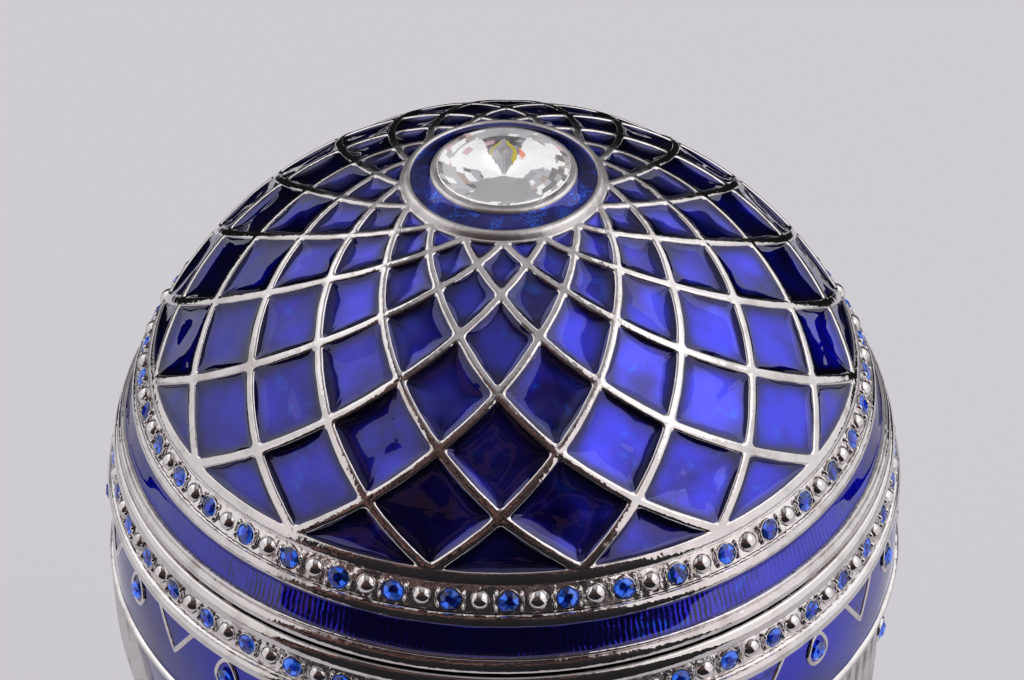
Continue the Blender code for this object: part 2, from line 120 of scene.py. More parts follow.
# Heights of the body's bands
BODY_ROW_TOP = 95.64 * MM
BODY_ROW_BOTTOM = 92.05 * MM
FRIEZE_TOP = 90.3 * MM
FRIEZE_BOTTOM = 80.34 * MM
COLUMN_TOP = 79.5 * MM
COLUMN_BOTTOM = 36.2 * MM
BOWL_TOP = 33.2 * MM
BOWL_BOTTOM = 25.2 * MM
BODY_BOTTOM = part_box("egg_body")[0].z

# Inside the body: the collar that carries the lid, the cup's wall below it, and its floor
COLLAR_RADIUS = 44.0 * MM
COLLAR_BORE = 42.9 * MM
COLLAR_RISE = 2.1 * MM
COLLAR_ROUND = 0.2 * MM
CUP_HEIGHTS = (92.5, 85.0, 78.0, 69.0, 61.0, 52.0, 44.0, 35.0, 26.2)

# How deep wires, pennants and columns are rooted in the metal
ROOT = -0.6 * MM

# Drops and pennants of the frieze
REPEATS = 16
DROP_TURN = math.radians(3.8)
DROP_HALF = 1.7 * MM
PENNANT_HALF = 3.65 * MM
PENNANT_TIP = FRIEZE_TOP - 4.9 * MM

# The columns of the body
COLUMNS = 8
COLUMN_TURN = math.radians(15.0)
COLUMN_HALF = math.radians(6.6)
COLUMN_RISE = 0.9 * MM
FLUTES = 5
FLUTE_DEPTH = 0.68 * MM

# The stand: radii and heights in millimetres, outside from its top down and inside from its foot up
STAND_OUTLINE = (
    (19.2, 0.0), (19.5, -0.3), (19.7, -0.9), (19.6, -1.6), (19.2, -2.2), (17.6, -3.2), (16.2, -4.2),
    (15.5, -5.2), (15.1, -6.4), (14.95, -7.6), (15.1, -8.8), (15.7, -10.0), (17.0, -11.2),
    (18.8, -12.1), (21.4, -13.1), (24.4, -14.1), (27.2, -15.0), (28.9, -15.7), (29.5, -16.3),
    (29.7, -17.0), (30.2, -17.4), (31.6, -17.8), (32.8, -18.2), (33.6, -18.8), (33.95, -19.7),
    (34.0, -20.4), (33.9, -21.6),
)
STAND_FOOT = 33.6 * MM
STAND_HOLLOW = ((31.2, 0.0), (30.6, 1.2), (30.0, 2.4), (23.0, 5.2), (15.0, 8.8), (11.8, 13.0), (11.8, 19.0))

# Camera: the photograph's angle
LOOK_DOWN = math.radians(37.87)
LOOK_AT = Vector((0.00095, 0.0, 0.10861))
LOOK_FROM = 0.3995
LENS = 116.2

chance = random.Random(16)


def egg_radius(height):
    """The egg's radius at a height."""
    if height >= EQUATOR_HEIGHT:
        share = ((height - EQUATOR_HEIGHT) / DOME_RISE) ** DOME_POWER
        return EQUATOR_RADIUS * max(0.0, 1 - share) ** (1 / DOME_POWER)
    share = ((EQUATOR_HEIGHT - height) / BELLY_DROP) ** BELLY_POWER
    return EQUATOR_RADIUS * max(0.0, 1 - share) ** (1 / BELLY_POWER)


def dome_height(radius):
    """The height at which the dome has a radius."""
    share = (radius / EQUATOR_RADIUS) ** DOME_POWER
    return EQUATOR_HEIGHT + DOME_RISE * (1 - share) ** (1 / DOME_POWER)


def around(angle, radius, height):
    """The point at an angle from the front, a radius and a height."""
    return Vector((radius * math.sin(angle), -radius * math.cos(angle), height))


def profile_point(height, lift):
    """Radius and height of the egg's skin at a height, lifted off it."""
    step = 0.02 * MM
    slope = (egg_radius(height + step) - egg_radius(height - step)) / (2 * step)
    size = math.hypot(1.0, slope)
    return egg_radius(height) + lift / size, height - lift * slope / size


def on_egg(angle, height, lift=0.0):
    """The point of the egg's skin at a height, lifted off it."""
    return around(angle, *profile_point(height, lift))


def turns(count, offset=0.0):
    """Evenly spaced angles round the axis."""
    return [offset + FULL * i / count for i in range(count)]


def mix(a, b, share):
    return a + (b - a) * share


def in_metres(outline):
    return [(radius * MM, height * MM) for radius, height in outline]


def swell(x, y, z, size, seed=0.0):
    """Soft random swelling between about -1 and 1, with waves of a size."""
    return noise.noise(Vector((x, y, z)) / size + Vector((seed, 2.7 * seed, 0.0)))


def put_in_scene(name, data):
    """An object made of a mesh, a lamp or a camera."""
    made = bpy.data.objects.new(name, data)
    bpy.context.scene.collection.objects.link(made)
    return made


class Spot:
    """A place on the egg's skin with its own across, up and out."""

    def __init__(self, angle, height):
        self.middle = on_egg(angle, height)
        self.out = (on_egg(angle, height, MM) - self.middle).normalized()
        self.across = Vector((math.cos(angle), math.sin(angle), 0.0))
        self.up = self.out.cross(self.across)

    def at(self, x, y, z):
        return self.middle + self.across * x + self.up * y + self.out * z


class Form:
    """A mesh made point by point, loop by loop."""

    def __init__(self):
        self.points = []
        self.edges = []
        self.faces = []
        self.fires = {}

    def point(self, place, edge=0.0):
        """A point, and how near an edge or how deep in a hollow its finish is, 0 to 1."""
        self.points.append(tuple(place))
        self.edges.append(edge)
        return len(self.points) - 1

    def loop(self, places, edge=0.0):
        return [self.point(place, edge) for place in places]

    def ring(self, radius, height, angles):
        """A loop round the egg's axis."""
        return self.loop([around(a, radius, height) for a in angles])

    def circle(self, spot, radius, z, angles, x=0.0, y=0.0, squash=1.0):
        """A loop round x, y on a spot."""
        return self.loop([
            spot.at(x + radius * math.cos(t), y + squash * radius * math.sin(t), z) for t in angles
        ])

    def face(self, *corners):
        corners = [c for i, c in enumerate(corners) if c != corners[i - 1]]
        if len(corners) > 2:
            self.faces.append(corners)

    def fire(self, kind):
        """Marks the last face with the painted reflection or fire that its foil glows with."""
        self.fires[len(self.faces) - 1] = FIRES[kind][0]

    def strip(self, first, second, closed=True):
        for i in range(0 if closed else 1, len(first)):
            self.face(first[i - 1], first[i], second[i], second[i - 1])

    def join(self, loops, closed=True):
        """Strips from loop to loop, and from the last one back to the first where closed."""
        for i in range(0 if closed else 1, len(loops)):
            self.strip(loops[i - 1], loops[i])

    def fan(self, loop, place, edge=0.0):
        top = self.point(place, edge)
        for i in range(len(loop)):
            self.face(loop[i - 1], loop[i], top)

    def carried(self, loop, outline, angles):
        """Carries a loop along an outline of radii and heights, and returns the last loop."""
        for radius, height in outline:
            following = self.ring(radius, height, angles)
            self.strip(loop, following)
            loop = following
        return loop

    def dome(self, spot, x, y, radius, rise, sides, rings, squash=1.0):
        """A round grain of metal from a row's floor up, closed underneath."""
        angles = turns(sides)
        loops = []
        for i in range(rings):
            lean = math.pi / 2 * i / rings
            height = ROW_FLOOR + rise * math.sin(lean)
            loops.append(self.circle(spot, radius * math.cos(lean), height, angles, x, y, squash))
        self.join(loops, closed=False)
        self.fan(loops[-1], spot.at(x, y, ROW_FLOOR + rise))
        self.fan(loops[0], spot.at(x, y, ROW_FLOOR))

    def build(self, name, finish, stands_for=(), sharp=38.0):
        """The piece: its mesh and finish, riding on the one body, with edges sharp over an angle."""
        data = bpy.data.meshes.new(name)
        data.from_pydata(self.points, [], self.faces)
        data.attributes.new("edge", "FLOAT", "POINT").data.foreach_set("value", self.edges)
        if self.fires:
            values = [self.fires.get(i, 0.0) for i in range(len(self.faces))]
            data.attributes.new("fire", "FLOAT", "FACE").data.foreach_set("value", values)
        work = bmesh.new()
        work.from_mesh(data)
        bmesh.ops.recalc_face_normals(work, faces=work.faces)
        work.to_mesh(data)
        work.free()
        data.shade_smooth()
        data.set_sharp_from_angle(angle=math.radians(sharp))
        data.materials.append(finish)
        piece = put_in_scene(name, data)
        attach(piece, "root")
        if stands_for:
            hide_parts(*stands_for)


class Wire:
    """A node's output, with the sums that a finish is written in."""

    def __init__(self, nodes, socket):
        self.nodes = nodes
        self.socket = socket

    def beside(self, output):
        """Another output of the same node."""
        return Wire(self.nodes, self.socket.node.outputs[output])

    def __add__(self, other):
        return self.nodes.maths("ADD", self, other)

    def __sub__(self, other):
        return self.nodes.maths("SUBTRACT", self, other)

    def __rsub__(self, other):
        return self.nodes.maths("SUBTRACT", other, self)

    def __mul__(self, other):
        return self.nodes.maths("MULTIPLY", self, other)

    __radd__ = __add__
    __rmul__ = __mul__


class Nodes:
    """A tree of nodes, written as expressions."""

    def __init__(self, tree):
        self.tree = tree

    def node(self, kind, settings, values, output=0):
        made = self.tree.nodes.new(kind)
        for name, value in settings.items():
            if name == "stops":
                self.stops(made.color_ramp, value)
            else:
                setattr(made, name, value)
        for key, value in values.items():
            self.set(made.inputs[key], value)
        return Wire(self, made.outputs[output])

    def stops(self, ramp, stops):
        """Steps of colour without blending between them."""
        while len(ramp.elements) < len(stops):
            ramp.elements.new(0.5)
        for element, (position, colour) in zip(ramp.elements, stops):
            element.position = position
            element.color = (*colour, 1.0)
        ramp.interpolation = "CONSTANT"

    def set(self, socket, value):
        if isinstance(value, Wire):
            self.tree.links.new(value.socket, socket)
        elif socket.type == "RGBA":
            socket.default_value = (*value, 1.0)
        else:
            socket.default_value = value

    def maths(self, operation, *values):
        return self.node("ShaderNodeMath", {"operation": operation}, dict(enumerate(values)))

    def limit(self, value, low, high, to_low=0.0, to_high=1.0):
        """A value brought from one range to another, and held there."""
        return self.node(
            "ShaderNodeMapRange", {"interpolation_type": "SMOOTHSTEP"},
            {"Value": value, "From Min": low, "From Max": high, "To Min": to_low, "To Max": to_high},
        )

    def blend(self, share, first, second, kind="MIX"):
        return self.node(
            "ShaderNodeMix", {"data_type": "RGBA", "blend_type": kind}, {0: share, 6: first, 7: second}, 2,
        )


class Finish(Nodes):
    """A material on one Principled shader, made by its nodes."""

    def __init__(self, name):
        self.material = bpy.data.materials.new(name)
        self.material.use_nodes = True
        super().__init__(self.material.node_tree)
        self.shader = self.tree.nodes["Principled BSDF"]
        self.place = self.node("ShaderNodeTexCoord", {}, {}, "Object")

    def give(self, **values):
        """Sets the shader's inputs and returns the material."""
        for name, value in values.items():
            self.set(self.shader.inputs[name.replace("_", " ")], value)
        return self.material

    def grain(self, size, detail=2.0, roughness=0.5, distortion=0.0):
        """Soft noise with features of a size in metres, 0 to 1."""
        values = {"Detail": detail, "Roughness": roughness, "Distortion": distortion}
        return self.node("ShaderNodeTexNoise", {}, {"Vector": self.place, "Scale": 1 / size, **values})

    def cells(self, size, output="Distance"):
        """Small cells: the distance from each one's middle, or a colour for each."""
        return self.node("ShaderNodeTexVoronoi", {}, {"Vector": self.place, "Scale": 1 / size}, output)

    def axis(self, name):
        return self.node("ShaderNodeSeparateXYZ", {}, {"Vector": self.place}, name)

    def marked(self, name):
        """A value that the mesh carries."""
        return self.node("ShaderNodeAttribute", {"attribute_name": name}, {}, "Fac")

    def bump(self, height, distance, strength=1.0):
        values = {"Height": height, "Distance": distance, "Strength": strength}
        return self.node("ShaderNodeBump", {}, values)


# The colour of the painted highlights in the enamel comes first
AZURE_HIGHLIGHT = (0.006, 0.11, 0.78)
SPARK_BLUE = (0.015, 0.16, 0.95)
FLECK_BLUE = (0.003, 0.002, 0.02)
ENGRAVED_BLUE = (0.004, 0.003, 0.05)
PATINA = (0.13, 0.10, 0.08)
DULL_FROM, DULL_TO = 130.0 * MM, 132.6 * MM


def silver_finish(name, bright, dark, smooth, rough, lumps, size=1.5 * MM, patina=0.0):
    """Cast silver, polished, duller at the crown: soft lumps, pits and thin tarnish, patina in its hollows."""
    metal = Finish(name)
    lump = metal.grain(size)
    fine = metal.grain(0.3 * MM)
    tarnish = metal.limit(metal.grain(4.0 * MM, 4.0, 0.6), 0.45, 0.75)
    pits = metal.limit(metal.cells(1.9 * MM), 0.03, 0.09, 1.0, 0.0)
    colour = metal.blend(tarnish, bright, dark)
    if patina:
        blotches = metal.limit(metal.grain(1.6 * MM, 3.0, 0.6), 0.3, 0.6, 0.45, 1.0)
        stain = metal.limit(metal.marked("edge"), 0.45, 1.0) * blotches
        colour = metal.blend(stain * patina, colour, PATINA)
    polish = metal.limit(fine * 0.5 + tarnish * 0.5, 0.2, 0.8, smooth, rough)
    return metal.give(
        Base_Color=colour,
        Metallic=1.0,
        Roughness=polish + metal.limit(metal.axis("Z"), DULL_FROM, DULL_TO) * 0.3,
        Normal=metal.bump(lump + fine * 0.05 - pits * 0.25, lumps),
    )


def enamel_finish(name, deep, bright, engraving=0, granular=False, mottle=6.5 * MM, azure_highlights=0.8):
    """Deep blue enamel over bright metal: a clear glassy top over a tinted metallic floor."""
    enamel = Finish(name)
    shade = enamel.limit(enamel.grain(mottle, 2.0, 0.4), 0.28, 0.64)
    colour = enamel.blend(shade, deep, bright)
    # Painted highlights: pale blue patches that stand for light thrown back by the silver under the enamel,
    # scattered at random
    azure_highlight = enamel.limit(enamel.grain(3.2 * MM, 3.0, 0.6, 0.8), 0.58, 0.76)
    colour = enamel.blend(azure_highlight * azure_highlights, colour, AZURE_HIGHLIGHT)

    # Painted shade: darker towards the left, the side that the lights reach less
    across = enamel.axis("X")
    colour = enamel.blend(enamel.limit(across, -40 * MM, 16 * MM, 0.72, 0.0), colour, deep)
    # Darker against its walls: partly the deeper colour of thicker enamel there, partly painted shade
    wall = enamel.limit(enamel.marked("edge"), 0.14, 0.85)
    colour = enamel.blend(wall * 0.9, colour, tuple(c * 0.2 for c in deep))

    dots = enamel.limit(enamel.cells(0.9 * MM), 0.05, 0.12, 1.0, 0.0)
    fleck = dots * enamel.limit(enamel.grain(6.0 * MM), 0.42, 0.6)
    colour = enamel.blend(fleck * 0.6, colour, FLECK_BLUE)
    height = enamel.grain(2.6 * MM, 1.0, 0.4) + fleck * 0.2
    if engraving:
        turn = enamel.maths("ARCTAN2", across, across.beside("Y"))
        line = enamel.maths("SINE", turn * engraving + enamel.grain(1.2 * MM) * 5.0)
        worn = enamel.limit(enamel.grain(2.2 * MM), 0.35, 0.65, 0.08, 0.36)
        height = height * 0.4 + line * worn
        colour = enamel.blend(enamel.limit(line, 0.0, 1.0, 0.0, 0.25), colour, ENGRAVED_BLUE)
    if granular:
        grit = enamel.cells(0.2 * MM, "Color")
        patches = enamel.limit(enamel.grain(2.5 * MM), 0.35, 0.65, 0.4, 1.0)
        spark = enamel.limit(grit * patches, 0.42, 0.8, 0.0, 0.8)
        colour = enamel.blend(spark, colour, SPARK_BLUE)
        height = height * 0.4 + grit * 0.6
    return enamel.give(
        Base_Color=colour,
        Metallic=1.0,
        Specular_Tint=(0.02, 0.02, 0.35),
        Roughness=0.23,
        Coat_Weight=1.0,
        Coat_Roughness=0.02,
        Coat_IOR=1.55,
        Normal=enamel.bump(height, 0.10 * MM, 0.8),
    )


def stone_finish(name, colour):
    """Clear or tinted glass with the faintest haze."""
    stone = Finish(name)
    return stone.give(
        Base_Color=stone.blend(stone.grain(0.5 * MM), colour, tuple(c * 0.8 for c in colour)),
        Roughness=0.02,
        IOR=1.62,
        Transmission_Weight=1.0,
    )


def glowing_foil_finish(name):
    """Foil behind a stone that glows: its light paints the reflections and fire that each facet shows, over
    what its metal really reflects.
    """
    foil = Finish(name)
    grain = foil.grain(0.3 * MM, 2.0, 0.6)
    stops = list(FIRES.values())
    colours = foil.node("ShaderNodeValToRGB", {"stops": stops}, {"Fac": foil.marked("fire") + 0.02})
    return foil.give(
        Base_Color=foil.blend(grain, (0.32, 0.31, 0.31), (0.22, 0.21, 0.21)),
        Metallic=1.0,
        Roughness=0.2,
        # Painted reflections and fire: each facet glows with its colour from the ramp
        Emission_Color=foil.blend(grain * 0.2, colours, (0.5, 0.5, 0.5), "MULTIPLY"),
        Emission_Strength=0.78,
    )


def paper_finish(name):
    """Pale studio paper with a faint tooth, glowing evenly as under a light tent."""
    sheet = Finish(name)
    return sheet.give(
        Base_Color=sheet.blend(sheet.grain(2.0 * MM), (0.15, 0.145, 0.155), (0.17, 0.165, 0.175)),
        Roughness=0.9,
        Emission_Color=(0.97, 0.94, 1.0),
        Emission_Strength=0.51,
    )


def felt_finish(name):
    """Black felt with a short nap."""
    felt = Finish(name)
    return felt.give(Base_Color=(0.014, 0.013, 0.016), Roughness=1.0)


# The painted reflections and fire that the foil glows with: where each kind stands on the foil's ramp, and its
# colour
FIRES = {
    "dark": (0.0, (0.045, 0.042, 0.045)),
    "smoke": (0.12, (0.12, 0.115, 0.12)),
    "grey": (0.25, (0.37, 0.37, 0.385)),
    "pale": (0.4, (0.5, 0.49, 0.52)),
    "white": (0.55, (1.05, 1.05, 1.08)),
    "yellow": (0.7, (0.68, 0.58, 0.02)),
    "orange": (0.8, (0.95, 0.24, 0.07)),
    "pink": (0.87, (0.70, 0.45, 0.50)),
    "tan": (0.94, (0.42, 0.34, 0.28)),
}

CAST = ((0.68, 0.64, 0.64), (0.48, 0.44, 0.43))
TURNED = ((0.68, 0.65, 0.64), (0.52, 0.48, 0.47))
ROUGH = ((0.80, 0.76, 0.75), (0.52, 0.46, 0.44))
PAPER = paper_finish("studio_paper")
FELT = felt_finish("dark_felt")
SILVER = silver_finish("cast_silver", *CAST, 0.06, 0.17, 0.09 * MM)
TURNED_SILVER = silver_finish("turned_silver", *TURNED, 0.05, 0.14, 0.04 * MM)
ROUGH_SILVER = silver_finish("rough_silver", *ROUGH, 0.18, 0.36, 0.16 * MM, 1.1 * MM)
FLUTED_SILVER = silver_finish("fluted_silver", *CAST, 0.12, 0.26, 0.09 * MM, patina=0.85)
DOME_BLUE = enamel_finish("dome_enamel", (0.009, 0.004, 0.18), (0.030, 0.032, 0.76))
BAND_BLUE = enamel_finish("engraved_enamel", (0.016, 0.010, 0.30), (0.03, 0.026, 0.52), engraving=420)
PANEL_BLUE = enamel_finish(
    "panel_enamel", (0.014, 0.008, 0.24), (0.034, 0.024, 0.66), mottle=12.0 * MM, azure_highlights=0.15,
)
PENNANT_BLUE = enamel_finish(
    "pennant_enamel", (0.022, 0.022, 0.26), (0.085, 0.09, 0.62), mottle=1.6 * MM, azure_highlights=0.1,
)
CROWN_BLUE = enamel_finish("granular_enamel", (0.006, 0.004, 0.12), (0.010, 0.008, 0.28), granular=True)
BLUE_STONE = stone_finish("blue_stone_glass", (0.002, 0.036, 0.90))
CRYSTAL = stone_finish("crystal_glass", (1.0, 1.0, 1.0))
GLOWING_FOIL = glowing_foil_finish("glowing_stone_foil")


class Meridian:
    """The dome's outline by the distance run up it from the lattice's foot."""

    STEPS = 400
    HAIR = 1e-12

    def __init__(self, foot, head):
        self.radii = [mix(foot, head, i / self.STEPS) for i in range(self.STEPS + 1)]
        heights = [dome_height(r) for r in self.radii]
        self.runs = [0.0]
        for i in range(self.STEPS):
            step = math.hypot(self.radii[i + 1] - self.radii[i], heights[i + 1] - heights[i])
            self.runs.append(self.runs[-1] + step)

    def radius_at(self, run):
        run = min(max(run, 0.0), self.runs[-1])
        i = min(bisect.bisect_left(self.runs, run - self.HAIR, 1), self.STEPS) - 1
        share = (run - self.runs[i]) / (self.runs[i + 1] - self.runs[i])
        return mix(self.radii[i], self.radii[i + 1], share)

    def run_at(self, radius):
        i = next(k for k in range(self.STEPS) if self.radii[k + 1] <= radius + 1e-9)
        share = (radius - self.radii[i]) / (self.radii[i + 1] - self.radii[i])
        return mix(self.runs[i], self.runs[i + 1], share)


MERIDIAN = Meridian(egg_radius(LATTICE_FOOT), CROWN_RADIUS)
RUNS = [MERIDIAN.run_at(r) for r in LATTICE_RADII]
TOP_ROW = len(RUNS) - 1
HALF_TURN = math.pi / RIBS
CORNER_STEPS = 4
SIDE_STEPS = 6


def dome_point(angle, run, lift):
    return on_egg(angle, dome_height(MERIDIAN.radius_at(run)), lift)


def lattice_node(row, place):
    """Where the ribs cross, a little off true as in a hand-made casting."""
    place %= 2 * RIBS
    wander = random.Random(row * 100 + place)
    even = place * HALF_TURN
    rise = (row - 3) / 3
    angle = even + STRAY_BOW * (1 - rise * rise) + rise * (STRAY_TWIST + STRAY_CROWD * math.sin(even))
    angle += wander.uniform(-STRAY_CHANCE, STRAY_CHANCE) / LATTICE_RADII[row]
    run = RUNS[row]
    if 0 < row < TOP_ROW:
        run += wander.uniform(-STRAY_CHANCE, STRAY_CHANCE)
    return angle, run


def cross(a, b):
    return a.real * b.imag - a.imag * b.real


def unit(way):
    return way / abs(way)


def rib_half(run):
    return mix(RIB_HALF_LOW, RIB_HALF_HIGH, run / RUNS[-1])


def side_steps(length):
    """How near a corner a cell's side starts to bend, and the steps along the side, finer there."""
    zone = min(FILLET, 0.3 * length)
    steps = [zone * j / CORNER_STEPS for j in range(CORNER_STEPS)]
    steps += [mix(zone, length - zone, j / SIDE_STEPS) for j in range(SIDE_STEPS + 1)]
    steps += [length - zone * (CORNER_STEPS - j) / CORNER_STEPS for j in range(1, CORNER_STEPS + 1)]
    return zone, steps


class Opening:
    """One cell of the lattice, drawn flat: x across it and the run up the dome as one complex number."""

    def __init__(self, row, number):
        self.row = row
        self.number = number
        middle = 2 * number + row % 2
        self.centre = middle * HALF_TURN
        left = (row, middle - 1)
        right = (row, middle + 1)
        if row == 0:
            self.keys = [left, right, (1, middle)]
        elif row == TOP_ROW:
            self.keys = [right, left, (row - 1, middle)]
        else:
            self.keys = [(row - 1, middle), right, (row + 1, middle), left]
        self.marks = []
        for key in self.keys:
            angle, run = lattice_node(*key)
            angle += FULL * round((self.centre - angle) / FULL)
            self.marks.append((angle, run))
        self.flat = [self.flatten(*mark) for mark in self.marks]
        count = len(self.flat)
        self.sides = [self.curve(k, 1.0) - self.curve(k, 0.0) for k in range(count)]
        self.start = [unit(self.curve(k, 0.06) - self.curve(k, 0.0)) for k in range(count)]
        self.end = [unit(self.curve(k, 0.94) - self.curve(k, 1.0)) for k in range(count)]
        self.halves = []
        for k in range(count):
            on_ring = self.marks[k][1] == self.marks[(k + 1) % count][1]
            self.halves.append(RING_EDGE if on_ring else rib_half(self.marks[k][1]))
        self.middle = sum(self.flat) / count
        self.reach = min(self.clearance(k) for k in range(count))

    def clearance(self, k):
        side = self.sides[k]
        return abs(cross(side, self.middle - self.flat[k])) / abs(side) - self.halves[k]

    def walls(self, place):
        """How far a place lies from each rib around the cell, in millimetres."""
        return [
            max(cross(side, place - corner) / abs(side) - half, 0.0) / MM
            for side, corner, half in zip(self.sides, self.flat, self.halves)
        ]

    def flatten(self, angle, run):
        return complex((angle - self.centre) * MERIDIAN.radius_at(run), run)

    def curve(self, k, share):
        """The rib's line on a side of the cell."""
        a, b = self.marks[k], self.marks[(k + 1) % len(self.marks)]
        return self.flatten(mix(a[0], b[0], share), mix(a[1], b[1], share))

    def outline(self, share, extra, roundness):
        """The opening's outline, moved in from the rib lines by a share of the rib and more."""
        count = len(self.flat)
        widths = [half * share + extra for half in self.halves]
        corners = []
        for k in range(count):
            back, on = self.end[k - 1], self.start[k]
            s = abs(cross(back, on))
            corners.append(self.flat[k] + back * (widths[k] / s) + on * (widths[k - 1] / s))
        places = []
        for k in range(count):
            following = (k + 1) % count
            first, last = corners[k], corners[following]
            length = abs(last - first)
            whole = abs(self.sides[k])
            on, back = self.start[k], self.end[k]
            from_share = ((first - self.flat[k]) * on.conjugate()).real / whole
            to_share = 1 - ((last - self.flat[following]) * back.conjugate()).real / whole
            zone, steps = side_steps(length)

            def along(share):
                """The side's own wavering line between its corners."""
                g = mix(from_share, to_share, share)
                here = self.curve(k, g)
                way = self.curve(k, min(g + 0.02, 1.0)) - self.curve(k, max(g - 0.02, 0.0))
                waver = swell(self.centre * 40 + here.real / MM, here.imag / MM, 0.0, 1.5, 3.0)
                return here + unit(way) * 1j * widths[k] * (1 + 0.13 * waver)

            def rounded(x, before, after):
                """How far the fillet pulls a place at x from the corner off its side."""
                t = 0.5 + 0.5 * x / zone
                return (1 - t) ** 2 * zone * before + t * t * zone * after - after * x

            error_first = first - along(0.0)
            error_last = last - along(1.0)
            for x in steps[:-1]:
                on_side = x / length
                place = along(on_side) + error_first * (1 - on_side) + error_last * on_side
                if x < zone:
                    place += rounded(x, self.end[k - 1], on) * roundness
                if length - x < zone:
                    place += rounded(length - x, self.start[following], back) * roundness
                places.append(place)
        return places

    def spot(self, place, lift):
        angle = self.centre + place.real / MERIDIAN.radius_at(place.imag)
        return dome_point(angle, place.imag, lift)


OPENINGS = [Opening(row, number) for row in range(TOP_ROW + 1) for number in range(RIBS)]
# Share of the rib's half width, lift in millimetres, roundness of the corners, from the rib's
# line down to the floor of the cell
RIB_PROFILE = (
    (0.3, -0.005, 0.3), (0.55, -0.02, 0.5), (0.74, -0.055, 0.7), (0.88, -0.11, 0.85), (1.0, -0.2, 1.0),
    (1.03, -CELL_FLOOR / MM, 1.0),
)


def rib_line(form, known, opening, k):
    """The points on the line between two crossings, shared by the cells on both sides."""
    a, b = opening.keys[k], opening.keys[(k + 1) % len(opening.keys)]
    a, b = (a[0], a[1] % (2 * RIBS)), (b[0], b[1] % (2 * RIBS))
    name = (min(a, b), max(a, b))
    if name not in known:
        first, last = opening.marks[k], opening.marks[(k + 1) % len(opening.marks)]
        if name[0] != a:
            first, last = last, first
        length = abs(opening.sides[k])
        steps = side_steps(length)[1]
        line = []
        for i, x in enumerate(steps):
            place = dome_point(mix(first[0], last[0], x / length), mix(first[1], last[1], x / length), 0.0)
            if i in (0, len(steps) - 1):
                key = name[0] if i == 0 else name[1]
                if key not in known:
                    known[key] = form.point(place)
                line.append(known[key])
            else:
                line.append(form.point(place))
        known[name] = line
    line = known[name]
    return line[:-1] if name[0] == a else line[:0:-1]


def lattice(form):
    """The ribs with their cells, and the loops at the lattice's foot and head."""
    known = {}
    feet = {}
    heads = {}
    for opening in OPENINGS:
        sides = [rib_line(form, known, opening, k) for k in range(len(opening.keys))]
        if opening.row == 0:
            feet[opening.number] = sides[0]
        if opening.row == TOP_ROW:
            heads[opening.number] = sides[0][1:] + sides[1][:1]
        loop = sum(sides, [])
        for share, lift, roundness in RIB_PROFILE:
            outline = opening.outline(share, 0.0, roundness)
            following = form.loop([opening.spot(p, lift * MM) for p in outline])
            form.strip(loop, following)
            loop = following
        form.fan(loop, opening.spot(opening.middle, -CELL_FLOOR))
    foot = sum((feet[n] for n in range(RIBS)), [])
    head = sum((heads[n][::-1] for n in range(RIBS)), [])
    return foot, head


def angles_of(form, loop):
    return [math.atan2(form.points[i][0], -form.points[i][1]) for i in loop]


def rounded_rim(top, bottom, lift, base=0.0, steps=6):
    """Heights and lifts of a half round moulding between two heights."""
    middle, half = (top + bottom) / 2, (top - bottom) / 2
    outline = []
    for i in range(steps + 1):
        turn = math.pi * i / steps
        outline.append((middle + half * math.cos(turn), base + (lift - base) * math.sin(turn) ** 0.7))
    return outline


def channel(top, bottom, depth, steps=2):
    """Heights and lifts of a sunk channel."""
    slope = 0.06 * MM
    lip = -0.05 * MM
    floor = [(mix(top, bottom, i / steps), -depth) for i in range(1, steps)]
    return [(top, lip), (top - slope, -depth), *floor, (bottom + slope, -depth), (bottom, lip)]


def ridge(top, bottom, lift, inset=0.05 * MM, **shape):
    """A half round moulding, set in a little from the channels above and below it."""
    return rounded_rim(top - inset, bottom + inset, lift, **shape)


def on_profile(outline):
    return [profile_point(height, lift) for height, lift in outline]


def lid_casting():
    """The whole silver casting of the lid."""
    form = Form()
    foot, head = lattice(form)
    loop = form.carried(head, in_metres(CROWN_OUTLINE), angles_of(form, head))
    form.fan(loop, (0.0, 0.0, CRYSTAL_LOW.z - 0.5 * MM))
    angles = angles_of(form, foot)
    fall = LATTICE_FOOT - LID_ROW_TOP
    shoulder = ((0.3, 0.0), (0.55, 0.03), (0.78, 0.1), (0.92, 0.19))
    bands = [(LATTICE_FOOT - share * fall, -drop * MM) for share, drop in shoulder]
    bands += channel(LID_ROW_TOP, LID_ROW_BOTTOM, ROW_DEPTH)
    bands += ridge(LID_ROW_BOTTOM, LID_BAND_TOP, 0.26 * MM)
    bands += channel(LID_BAND_TOP, LID_BAND_BOTTOM, CELL_FLOOR)
    groove = LID_BAND_BOTTOM - 0.5 * MM
    bands += rounded_rim(LID_BAND_BOTTOM - 0.05 * MM, groove, 0.3 * MM, 0.1 * MM)
    bands += rounded_rim(groove - 0.04 * MM, SEAM + 0.05 * MM, 0.5 * MM, 0.1 * MM)
    bands += [(SEAM, -0.1 * MM)]
    loop = form.carried(foot, on_profile(bands), angles)
    inside = [(LID_BORE, SEAM), (LID_BORE, LID_BORE_TOP)]
    for i in range(1, 7):
        height = LID_BORE_TOP + (130.5 * MM - LID_BORE_TOP) * math.sin(math.pi / 2 * i / 6)
        radius, height = profile_point(height, -WALL)
        inside.append((radius, min(height, LID_CEILING)))
    loop = form.carried(loop, inside, angles)
    form.fan(loop, (0.0, 0.0, LID_CEILING))
    form.build("lid_casting", SILVER, ["lid"])


